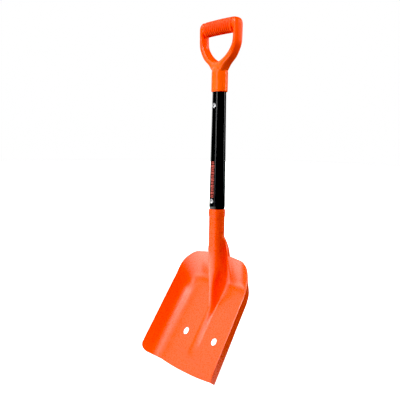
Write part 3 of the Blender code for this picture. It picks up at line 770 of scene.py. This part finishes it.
def blade_grid():
    """Points of the whole sheet's middle surface, row by row from the socket's mouth down."""
    rest = FLOOR_STEPS + FOLD_STEPS + WALL_STEPS + len(FILLET_STEPS)
    first = RIDGE_DEGREES[-1]
    degrees = RIDGE_DEGREES + [
        first + (RIM_DEGREES - first) * (i + 1) / rest for i in range(rest)
    ]
    circle = [(SOCKET_R * math.sin(a), -SOCKET_R * math.cos(a)) for a in map(math.radians, degrees)]
    rows = []
    for i in range(TUBE_ROWS):
        z = lerp(0, NECK_TOP, i / TUBE_ROWS)
        rows.append([(x, y, z) for x, y in circle])
    tray_start = half_row(0.0)
    for i in range(NECK_ROWS):
        k = i / NECK_ROWS
        opening = 1 - max(0.0, 1 - k / 0.85) ** 2.4
        row = [
            (lerp(x, wx, opening), lerp(y, wy, opening), lerp(NECK_TOP, wz, k))
            for (x, y), (wx, wy, wz) in zip(circle, tray_start)
        ]
        rows.append(settle(row, smooth(0.15, 0.95, k)))
    for i in range(TRAY_ROWS + 1):
        rows.append(settle(half_row(i / TRAY_ROWS), 1.0))
    return np.array([[(-x, y, z) for x, y, z in row[:0:-1]] + row for row in rows], float)


def differences(grid):
    """Vectors from the row before each row to the row after it."""
    out = np.empty_like(grid)
    out[1:-1] = grid[2:] - grid[:-2]
    out[0], out[-1] = grid[1] - grid[0], grid[-1] - grid[-2]
    return out


def thick_sheet(grid, thickness):
    """Both faces of the sheet, with its edges rounded."""
    height, width, _ = grid.shape
    across = differences(grid.swapaxes(0, 1)).swapaxes(0, 1)
    along = differences(grid)
    normal = np.cross(across, along)
    normal /= np.linalg.norm(normal, axis=2, keepdims=True)
    verts = list((grid + normal * thickness / 2).reshape(-1, 3))
    verts += list((grid - normal * thickness / 2).reshape(-1, 3))
    under = height * width
    faces = []
    for i in range(height - 1):
        for j in range(width - 1):
            a = i * width + j
            b, c, d = a + 1, a + width + 1, a + width
            faces.append((a, b, c, d))
            faces.append((under + d, under + c, under + b, under + a))
    border = [(i, 0) for i in range(height)]
    border += [(height - 1, j) for j in range(1, width)]
    border += [(i, width - 1) for i in range(height - 2, -1, -1)]
    border += [(0, j) for j in range(width - 2, 0, -1)]
    # three points round the edge beside each border point, chained between the two faces
    chains = []
    for i, j in border:
        outward = np.zeros(3)
        for at_edge, step in (
            (j == 0, -across[i, j]), (j == width - 1, across[i, j]),
            (i == 0, -along[i, j]), (i == height - 1, along[i, j]),
        ):
            if at_edge:
                outward += step / np.linalg.norm(step)
        outward /= np.linalg.norm(outward)
        base = len(verts)
        for q in (0.5, 0.0, -0.5):
            bulge = math.cos(q * math.pi * 0.5) * 0.42
            offset = normal[i, j] * thickness / 2 * math.sin(q * math.pi) * 0.9
            verts.append(grid[i, j] + offset + outward * thickness * bulge)
        top = i * width + j
        chains.append([top, base, base + 1, base + 2, under + top])
    for this, following in zip(chains, chains[1:] + chains[:1]):
        for m in range(4):
            faces.append((this[m], following[m], following[m + 1], this[m + 1]))
    return verts, faces


def floor_cutter(x, down, radius, half):
    """Round cutter square to the scoop's floor."""
    angles = [2 * math.pi * i / 64 for i in range(64)]
    return loft([
        [floor_point(x + radius * math.cos(a), down + radius * math.sin(a), rise) for a in angles]
        for rise in (-half, half)
    ])


def make_blade():
    blade = mesh_object("scoop", thick_sheet(blade_grid(), SHEET))
    holes = [
        floor_cutter(side * SCOOP_HOLE_X, SCOOP_HOLE_DOWN, SCOOP_HOLE_R, 12) for side in (-1, 1)
    ]
    combine(blade, "DIFFERENCE", holes + rivet_holes())
    finish_piece(blade, "orange_powder_coat", "shaft", "blade", degrees=50)


def make_band():
    """Round band on the socket's mouth."""
    bore = SOCKET_OUTER_R + 0.15
    profile = [(bore, -0.3), (bore + 0.3, 0.0)]
    profile += arc(BAND_R - 0.7, -0.7, 0.7, 90, 0, 5)
    profile += arc(BAND_R - 0.6, -BAND_H + 0.6, 0.6, 0, -90, 5)
    profile += [(bore, -BAND_H)]
    band = mesh_object("band_round_socket", lathe(profile, 128))
    finish_piece(band, "orange_powder_coat", "shaft", "socket_band")


def make_rivets():
    """Hollow-headed rivets on both sides of the socket."""
    # (radius, distance from the socket's face)
    head = [
        (2.45, 0.28), (4.3, 0.3), (4.4, 0.5), (4.35, 0.75), (4.1, 1.05), (3.6, 1.35),
        (2.9, 1.58), (2.1, 1.72), (1.6, 1.74), (1.45, 1.6), (1.4, 0.4), (0.9, 0.3), (0.3, 0.3),
    ]
    profile = [(2.2, 11.2), (2.45, 11.6)] + [(r, SOCKET_OUTER_R + out) for r, out in head]
    for side, axis in (("left", "-x"), ("right", "x")):
        rivet = mesh_object(f"rivet_{side}", side_plug(axis, RIVET_Z, profile, 48))
        finish_piece(rivet, "orange_powder_coat", "shaft", f"socket_rivet_{side}", degrees=50)


def make_shaft():
    """Tapered tube with a spigot for the socket and lock holes in front."""
    mouth_r = shaft_radius(SHOULDER)
    profile = [(BORE_R, SHAFT_TOP - 0.4), (BORE_R + 0.4, SHAFT_TOP)]
    profile += arc(shaft_radius(SHAFT_TOP) - 0.6, SHAFT_TOP - 0.6, 0.6, 90, 0, 4)
    profile += [(shaft_radius(z), z) for z in (240, 180, 120, 60, 20, SHOULDER + 2.5)]
    profile += [
        (mouth_r - 0.05, SHOULDER + 1.2), (mouth_r - 0.3, SHOULDER + 0.2),
        (mouth_r - 0.8, SHOULDER - 1.0), (SPIGOT_R + 0.7, 1.0), (SPIGOT_R + 0.15, 0.3),
        (SPIGOT_R, -0.6), (SPIGOT_R, SPIGOT_END + 1), (SPIGOT_R - 0.5, SPIGOT_END),
        (12.6, SPIGOT_END), (12.6, -30.0), (BORE_R, -29.0),
    ]
    shaft = mesh_object("black_shaft", lathe(profile, 128))
    cutters = []
    for z in (HOLE_LOW, HOLE_HIGH):
        face = shaft_radius(z)
        wide_r = LOCK_HOLE_R + 0.9
        hole = [(LOCK_HOLE_R, 8.0), (LOCK_HOLE_R, face - 0.5), (wide_r, face + 0.4), (wide_r, 24.0)]
        cutters.append(side_plug("-y", z, hole, 48))
    combine(shaft, "DIFFERENCE", cutters + rivet_holes())
    finish_piece(shaft, "black_anodised_aluminium", "shaft", "shaft_tube", degrees=35)


def make_spigot_plug():
    """Nylon plug in the shaft's lower end."""
    # (radius, height from the spigot's end)
    outline = [
        (10.6, 6), (11.4, 5.8), (12.1, 5), (12.2, -0.4), (13.4, -0.5), (13.9, -0.9),
        (13.9, -1.9), (13.5, -2.6), (12.6, -3.0),
    ]
    stopper = mesh_object("spigot_plug", plug([(r, SPIGOT_END + z) for r, z in outline], 64))
    finish_piece(stopper, "black_nylon", "shaft", "shaft_end_plug")


def make_guide_bush():
    """Nylon bush in the shaft's top, round the telescopic tube."""
    # (radius, height from the shaft's top)
    outline = [
        (INNER_R + 0.3, 1.3), (INNER_R + 0.7, 1.8), (13.9, 1.8), (14.4, 1.5), (14.5, 1.1),
        (14.5, 0.3), (BORE_R - 0.3, 0.2), (BORE_R - 0.3, -19.6), (BORE_R - 0.7, -20),
        (INNER_R + 0.3, -20),
    ]
    bush = mesh_object("guide_bush", lathe([(r, SHAFT_TOP + z) for r, z in outline], 96))
    finish_piece(bush, "black_nylon", "shaft", "shaft_top_bush")


def make_inner_tube():
    profile = [
        (INNER_BORE_R, INNER_TOP), (INNER_R - 0.3, INNER_TOP), (INNER_R, INNER_TOP - 0.3),
        (INNER_R, 200.0), (INNER_R, 60.0), (INNER_R, INNER_END + 0.3),
        (INNER_R - 0.3, INNER_END), (INNER_BORE_R, INNER_END), (INNER_BORE_R, 60.0),
        (INNER_BORE_R, 200.0),
    ]
    tube = mesh_object("telescopic_tube", lathe(profile, 96))
    combine(tube, "DIFFERENCE", [
        side_plug("-y", HOLE_LOW, [(LOCK_HOLE_R, 6.0), (LOCK_HOLE_R, 24.0)], 48),
        side_plug("y", SCREW_Z, [(SCREW_HOLE_R, 4.0), (SCREW_HOLE_R, 30.0)], 32),
    ])
    finish_piece(tube, "bare_aluminium", "handle", "inner_tube", degrees=35)


def make_lower_bush():
    """Nylon bush on the telescopic tube's lower end."""
    # (radius, height from the tube's end)
    outline = [
        (INNER_BORE_R - 3.0, -2.6), (BORE_R - 0.9, -2.6), (BORE_R - 0.4, -2.3),
        (BORE_R - 0.3, -1.8), (BORE_R - 0.3, -0.4), (INNER_BORE_R - 0.35, -0.35),
        (INNER_BORE_R - 0.35, 13.6), (INNER_BORE_R - 0.8, 14), (INNER_BORE_R - 3.0, 14),
    ]
    bush = mesh_object("lower_bush", lathe([(r, INNER_END + z) for r, z in outline], 96))
    finish_piece(bush, "black_nylon", "handle", "inner_tube_bush")


def make_spring():
    """Flat strip bent into an upturned U inside the telescopic tube."""
    front, back = -8.6, 9.2
    low, high = HOLE_LOW - 7, HOLE_LOW + 44
    half_thickness = 0.35
    # (x, share of the half thickness) round the strip's section
    section = [
        (-3.2, -0.6), (-2.9, -1), (2.9, -1), (3.2, -0.6),
        (3.2, 0.6), (2.9, 1), (-2.9, 1), (-3.2, 0.6),
    ]
    path = [(front, low), (front, HOLE_LOW), (front + 1.0, lerp(HOLE_LOW, high, 0.6))]
    bend_y, bend_r = (front + 1.2 + back) / 2, (back - front - 1.2) / 2
    for i in range(25):
        a = math.pi * (1 - i / 24)
        path.append((bend_y + bend_r * math.cos(a), high + bend_r * math.sin(a)))
    path += [(back, lerp(high, low, 0.5)), (back, low)]
    rings = []
    for k, (y, z) in enumerate(path):
        (y0, z0), (y1, z1) = path[max(0, k - 1)], path[min(len(path) - 1, k + 1)]
        run = math.hypot(y1 - y0, z1 - z0)
        ny, nz = (z1 - z0) / run * half_thickness, -(y1 - y0) / run * half_thickness
        rings.append([(x, y + ny * share, z + nz * share) for x, share in section])
    spring = mesh_object("leaf_spring", loft(rings))
    finish_piece(spring, "spring_steel", "handle", "snap_spring")


def make_button():
    """Domed lock button in the lower front hole."""
    shoulder = shaft_radius(HOLE_LOW) + BUTTON_PROUD - BUTTON_DOME
    profile = [(BUTTON_R, 9.4), (BUTTON_R, shoulder)]
    for i in range(1, 10):
        a = math.pi / 2 * i / 9
        profile.append((max(0.25, BUTTON_R * math.cos(a)), shoulder + BUTTON_DOME * math.sin(a)))
    button = mesh_object("lock_button", side_plug("-y", HOLE_LOW, profile, 56))
    finish_piece(button, "stainless_steel", "button", "snap_button", degrees=50)


# ---------------------------------------------------------------------------
# handle
# ---------------------------------------------------------------------------
def catmull(points, steps):
    """A smooth curve through rows of numbers."""
    p = [np.array(q, float) for q in points]
    out = []
    for i in range(len(p) - 1):
        a, b, c, d = p[max(0, i - 1)], p[i], p[i + 1], p[min(len(p) - 1, i + 2)]
        for k in range(steps):
            t = k / steps
            out.append(0.5 * (
                2 * b + (c - a) * t + (2 * a - 5 * b + 4 * c - d) * t * t
                + (3 * b - a - 3 * c + d) * t**3
            ))
    out.append(p[-1])
    return out


def squared(value, power):
    """A sine or cosine pushed outwards, so that a circle becomes a superellipse."""
    return math.copysign(abs(value) ** (2 / power), value)


def rounded(centre, u, v, half_u, half_v, count, power=3.0):
    """Superellipse ring round a centre, in the plane of u and v."""
    ring = []
    for i in range(count):
        t = 2 * math.pi * (i + 0.5) / count
        along_u = half_u * squared(math.cos(t), power)
        along_v = half_v * squared(math.sin(t), power)
        ring.append(tuple(Vector(centre) + Vector(u) * along_u + Vector(v) * along_v))
    return ring


def arm_depth(z):
    """Half depth of the handle where its outer line is at height z."""
    if z < 307:
        return 15.5
    if z < 355:
        return lerp(14.0, ARM_DEPTH, smooth(307, 350, z))
    return ARM_DEPTH + 1.6 * smooth(390, 416, z)


def handle_loop():
    """The closed D: two arms and the bar through the grip."""
    rows = [(ox, oz, ix, iz, arm_depth(oz)) for (ox, oz), (ix, iz) in HANDLE_STATIONS]
    half = catmull(rows, 5)
    for x in (45.6, 28.0, 10.0):
        half.append((x, CORE_MID + CORE_HALF_H, x, CORE_MID - CORE_HALF_H, CORE_DEPTH))
    rings = []
    for (ox, oz, ix, iz, depth), side in [(r, 1) for r in half] + [(r, -1) for r in half[:0:-1]]:
        outer, inner = Vector((side * ox, 0, oz)), Vector((side * ix, 0, iz))
        u = (outer - inner).normalized()
        half_width = (outer - inner).length / 2
        rings.append(rounded((outer + inner) / 2, u, (0, 1, 0), half_width, depth, 40))
    return loft(rings, loop=True)


def soften(mesh):
    """Smooth the joints between collar, arms and grip, and leave the collar's rim alone."""
    points = np.empty(len(mesh.vertices) * 3)
    mesh.vertices.foreach_get("co", points)
    points = points.reshape(-1, 3)
    edges = np.empty(len(mesh.edges) * 2, int)
    mesh.edges.foreach_get("vertices", edges)
    edges = edges.reshape(-1, 2)
    degree = np.bincount(edges.ravel(), minlength=len(points))[:, None]

    def relax(points, amount, weight):
        total = np.zeros_like(points)
        np.add.at(total, edges[:, 0], points[edges[:, 1]])
        np.add.at(total, edges[:, 1], points[edges[:, 0]])
        return points + (total / degree - points) * amount * weight

    z = points[:, 2] / MM - ORIGIN.z
    above_rim = np.clip((z - (COLLAR_Z0 + 5)) / 6, 0.06, 1.0)[:, None]
    near_joint = np.clip(1 - np.abs(z - 316) / 20, 0, 1)[:, None]
    for _ in range(26):
        # in, then out again, which smooths without shrinking
        for amount in (0.5, -0.52):
            points = relax(points, amount, above_rim)
    for _ in range(14):
        points = relax(points, 0.5, near_joint)
    mesh.vertices.foreach_set("co", points.ravel())
    mesh.update()


def make_handle():
    handle = mesh_object("moulded_handle", handle_loop())
    z0 = COLLAR_Z0
    collar = [
        (COLLAR_R - 1.6, z0), (COLLAR_R - 0.7, z0 + 0.35), (COLLAR_R - 0.2, z0 + 1.4),
        (COLLAR_R, z0 + 3.2), (COLLAR_R, 290.0), (COLLAR_R, 304.0), (17.0, 313.0), (12.0, 318.5),
    ]
    combine(handle, "UNION", [plug(collar, 96)])
    remesh = handle.modifiers.new("remesh", "REMESH")
    remesh.mode = "VOXEL"
    remesh.voxel_size = 0.0009
    remesh.use_smooth_shade = True
    apply_modifiers(handle)
    soften(handle.data)
    bore_top = SHAFT_TOP + 3.6
    bore = [
        (COLLAR_BORE_R + 0.5, z0 - 5), (COLLAR_BORE_R + 0.5, z0 + 0.2),
        (COLLAR_BORE_R, z0 + 0.8), (COLLAR_BORE_R, SHAFT_TOP + 3.0),
        (COLLAR_BORE_R - 0.6, bore_top), (INNER_R + 0.3, bore_top),
        (INNER_R + 0.3, INNER_TOP + 0.5),
    ]
    screw_hole = [(SCREW_HOLE_R, 4.0), (SCREW_HOLE_R, 16.0), (4.4, 17.6), (4.9, 26.0)]
    combine(handle, "DIFFERENCE", [plug(bore, 96), side_plug("y", SCREW_Z, screw_hole, 40)])
    finish_piece(handle, "orange_plastic", "handle", "d_handle", degrees=50)


def make_screw():
    """Screw in the back of the collar."""
    profile = [
        (1.6, 7.2), (2.2, 8.0), (2.2, 15.8), (4.0, 17.35), (4.05, 17.6), (3.9, 17.85),
        (2.6, 17.9), (2.0, 16.6), (0.4, 16.5),
    ]
    screw = mesh_object("collar_screw", side_plug("y", SCREW_Z, profile, 48))
    finish_piece(screw, "stainless_steel", "handle", "handle_screw")


def make_grip():
    """Sleeve round the handle's bar, with ribs across it."""
    half_h = (GRIP_Z1 - GRIP_Z0) / 2
    groove_depth = 1.9
    end_rounding = 1.8
    count = 72
    ends = [-GRIP_HALF + step for step in (0, 0.25, 0.7, 1.4, 2.4)]
    body = np.linspace(-GRIP_HALF + 3.2, GRIP_HALF - 3.2, RIBS * 12 + 1)
    rings = []
    for x in ends + list(body) + [-x for x in ends[::-1]]:
        drop = 0.0004 * x * x
        end = -end_rounding * (1 - min(1.0, (GRIP_HALF - abs(x)) / 2.2)) ** 2
        u = (x + GRIP_HALF - RIB_MARGIN) / RIB_PITCH
        inside = smooth(0.0, 0.35, u) * smooth(RIBS, RIBS - 0.35, u)
        wave = 0.5 - 0.5 * math.cos(2 * math.pi * u)
        groove = -groove_depth * inside * wave**1.3
        ring = []
        for i in range(count):
            t = 2 * math.pi * (i + 0.5) / count
            c, s = math.cos(t), math.sin(t)
            # grooves run round the front, the underside and the back and fade out on top
            offset = end + groove * (1 - 0.85 * smooth(0.55, 0.95, s))
            y = (GRIP_DEPTH + offset) * squared(c, 2.4)
            z = (half_h + offset) * squared(s, 2.4)
            ring.append((x, y, GRIP_MID - drop + z))
        rings.append(ring)
    for x in (GRIP_HALF, -GRIP_HALF):
        rings.append(rounded((x, 0, CORE_MID), (0, 1, 0), (0, 0, 1),
                             CORE_DEPTH + 0.5, CORE_HALF_H + 0.5, count))
    grip = mesh_object("ribbed_grip", loft(rings, loop=True))
    finish_piece(grip, "orange_grip_plastic", "handle", "grip_sleeve", degrees=60)


# ---------------------------------------------------------------------------
# stage, light, camera
# ---------------------------------------------------------------------------
# directions are azimuth (0 in front, positive to the right) and elevation, in degrees
DARK = 0.01                          # light from where there is no panel or patch

# patches of floor that light the object: x, y, inner and outer radius in metres, strength
FLOOR_GLOW = [(-0.60, -0.42, 0.30, 0.95, 2.8), (0.05, -1.10, 0.30, 0.85, 1.8)]
FLOOR_HALF_SIZE = 14.0               # metres
FLOOR_DROP = 0.0006                  # metres below z = 0
FLOOR_SEEN_GLOW = 0.72               # the floor's own light as the camera sees it
FLOOR_UNSEEN_COLOUR = (0.03, 0.03, 0.03)

# azimuth from, to, softness; elevation from, to, softness; strength
PANELS = [
    (3.0, 15.0, 5.0, -2.0, 26.0, 6.0, 4.3),         # key box in front, lower half
    (21.0, 52.0, 4.0, 35.5, 47.5, 4.0, 20.0),       # and its brighter upper half
    (-18.0, 6.0, 7.0, 39.0, 54.0, 6.0, 12.5),       # with a softer edge beside it
    (-78.0, -12.0, 22.0, -4.0, 50.0, 12.0, 0.20),   # wide, dim wall of light on the left
    (-108.0, -35.0, 18.0, 20.0, 50.0, 10.0, 0.94),  # its brighter upper part
    (-114.0, -88.0, 8.0, 3.0, 24.0, 8.0, 1.5),      # and its far end
    (146.0, 156.0, 8.0, -20.0, 40.0, 10.0, 3.0),    # thin rim light behind
]

# azimuth, elevation, strength, angular size: suns that shiny reflections don't show
FILLS = [
    (-27.0, 12.0, 1.80, 42.0),
    (158.0, 8.0, 4.4, 50.0),
    (-95.0, 20.0, 0.6, 70.0),
]

# small soft box beside the handle
BOX_POWER = 0.40                     # watts
BOX_SIZE = 0.30                      # metres
BOX_DIRECTION = (92.0, 16.0)
BOX_DISTANCE = 0.34                  # metres
BOX_TARGET_Z = 350                   # mm

CAMERA_DIRECTION = (51.007, 5.21)
CAMERA_ROLL = math.radians(1.011)
CAMERA_DISTANCE = 1339.18            # mm
CAMERA_SIDE = -38.824                # mm to the right
CAMERA_HEIGHT = 20.084               # mm above the socket's mouth, before the elevation
CAMERA_LENS = 53.39115               # mm
CAMERA_SENSOR = 36.0                 # mm


def direction(azimuth, elevation):
    a, e = math.radians(azimuth), math.radians(elevation)
    return Vector((math.sin(a) * math.cos(e), -math.cos(a) * math.cos(e), math.sin(e)))


def floor_material():
    """Bright for the camera; for the object a dark floor with glowing patches."""
    m = Material("studio_floor")
    m.tree.nodes.remove(m.shader)
    noise = m.noise(scale=3.0)
    mottled = m.mottle(noise, low=(0.86, 0.86, 0.86), high=(0.90, 0.90, 0.90))
    camera_ray = m.new("LightPath").outputs["Is Camera Ray"]
    x, y, z = m.split(m.place)
    glow = DARK
    for glow_x, glow_y, inner, outer, strength in FLOOR_GLOW:
        away = m.length(m.subtract(x, glow_x), m.subtract(y, glow_y))
        patch = m.subtract(1.0, m.remap(away, over=(inner, outer)))
        glow = m.add(glow, m.multiply(patch, strength))
    diffuse = m.new("BsdfDiffuse")
    m.put(diffuse, "Color", m.mix(camera_ray, FLOOR_UNSEEN_COLOUR, mottled))
    pick = m.new("Mix")
    pick.data_type = "FLOAT"
    m.put(pick, 0, camera_ray)
    m.put(pick, 2, glow)
    m.put(pick, 3, FLOOR_SEEN_GLOW)
    emission = m.new("Emission")
    m.put(emission, "Strength", pick.outputs[0])
    both = m.new("AddShader")
    m.put(both, 0, diffuse.outputs[0])
    m.put(both, 1, emission.outputs[0])
    m.link(both.outputs[0], m.tree.nodes["Material Output"].inputs["Surface"])
    return m.material


def make_stage():
    s = FLOOR_HALF_SIZE
    mesh = bpy.data.meshes.new("studio_floor")
    mesh.from_pydata([(-s, -s, 0), (s, -s, 0), (s, s, 0), (-s, s, 0)], [], [(0, 1, 2, 3)])
    floor = bpy.data.objects.new("studio_floor", mesh)
    floor.location = (0, 0, -FLOOR_DROP)
    bpy.context.scene.collection.objects.link(floor)
    mesh.materials.append(floor_material())


def make_world():
    """White for the camera; for the object a dark studio with a few soft panels."""
    world = bpy.data.worlds.new("studio")
    bpy.context.scene.world = world
    world.use_nodes = True
    w = Tree(world.node_tree)
    w.tree.nodes.clear()
    output = w.new("OutputWorld")
    x, y, z = w.split(w.new("TexCoord").outputs["Generated"])
    to_degrees = 180 / math.pi
    azimuth = w.multiply(w.math("ARCTAN2", x, w.multiply(y, -1.0)), to_degrees)
    elevation = w.multiply(w.math("ARCSINE", z), to_degrees)
    light = DARK
    for az_from, az_to, az_soft, el_from, el_to, el_soft, strength in PANELS:
        patch = w.multiply(
            w.window(azimuth, az_from, az_to, az_soft),
            w.window(elevation, el_from, el_to, el_soft),
        )
        light = w.add(light, w.multiply(patch, strength))
    panels = w.new("Background")
    w.put(panels, "Strength", light)
    white = w.new("Background")
    white.inputs["Color"].default_value = (1, 1, 1, 1)
    mix = w.new("MixShader")
    w.put(mix, 0, w.new("LightPath").outputs["Is Camera Ray"])
    w.put(mix, 1, panels.outputs[0])
    w.put(mix, 2, white.outputs[0])
    w.link(mix.outputs[0], output.inputs["Surface"])


def add_lamp(name, lamp, towards):
    """Place a lamp that shines from the direction `towards` and shows in no reflection."""
    obj = bpy.data.objects.new(name, lamp)
    obj.rotation_euler = towards.to_track_quat("Z", "Y").to_euler()
    obj.visible_glossy = False
    bpy.context.scene.collection.objects.link(obj)
    return obj


def make_lamps():
    for k, (azimuth, elevation, strength, size) in enumerate(FILLS):
        sun = bpy.data.lights.new(f"fill_{k}", "SUN")
        sun.energy = strength
        sun.angle = math.radians(size)
        add_lamp(f"fill_{k}", sun, direction(azimuth, elevation))
    lamp = bpy.data.lights.new("handle_box", "AREA")
    lamp.energy = BOX_POWER
    lamp.size = BOX_SIZE
    away = direction(*BOX_DIRECTION)
    box = add_lamp("handle_box", lamp, away)
    box.location = Vector((0, ORIGIN.y, ORIGIN.z + BOX_TARGET_Z)) * MM + away * BOX_DISTANCE


def make_camera():
    back = direction(*CAMERA_DIRECTION)
    azimuth = math.radians(CAMERA_DIRECTION[0])
    right = Vector((math.cos(azimuth), math.sin(azimuth), 0))
    up = back.cross(right)
    rolled_right = right * math.cos(CAMERA_ROLL) + up * math.sin(CAMERA_ROLL)
    rolled_up = -right * math.sin(CAMERA_ROLL) + up * math.cos(CAMERA_ROLL)
    offset = back * CAMERA_DISTANCE + right * CAMERA_SIDE + Vector((0, 0, CAMERA_HEIGHT))
    pose = Matrix((rolled_right, rolled_up, back)).transposed().to_4x4()
    pose.translation = (offset + ORIGIN) * MM
    data = bpy.data.cameras.new("camera")
    data.sensor_width = CAMERA_SENSOR
    data.lens = CAMERA_LENS
    data.clip_start = 0.05
    data.clip_end = 60
    camera = bpy.data.objects.new("camera", data)
    camera.matrix_world = pose
    bpy.context.scene.collection.objects.link(camera)
    bpy.context.scene.camera = camera


def set_view():
    """Plain colours, with the black level lifted a little off zero."""
    view = bpy.context.scene.view_settings
    view.view_transform = "Standard"
    view.look = "None"
    view.use_curve_mapping = True
    view.curve_mapping.black_level = (0.020, 0.020, 0.020)
    view.curve_mapping.update()


make_blade()
make_band()
make_rivets()
make_shaft()
make_spigot_plug()
make_guide_bush()
make_inner_tube()
make_lower_bush()
make_spring()
make_button()
make_handle()
make_screw()
make_grip()
make_stage()
make_world()
make_lamps()
make_camera()
set_view()
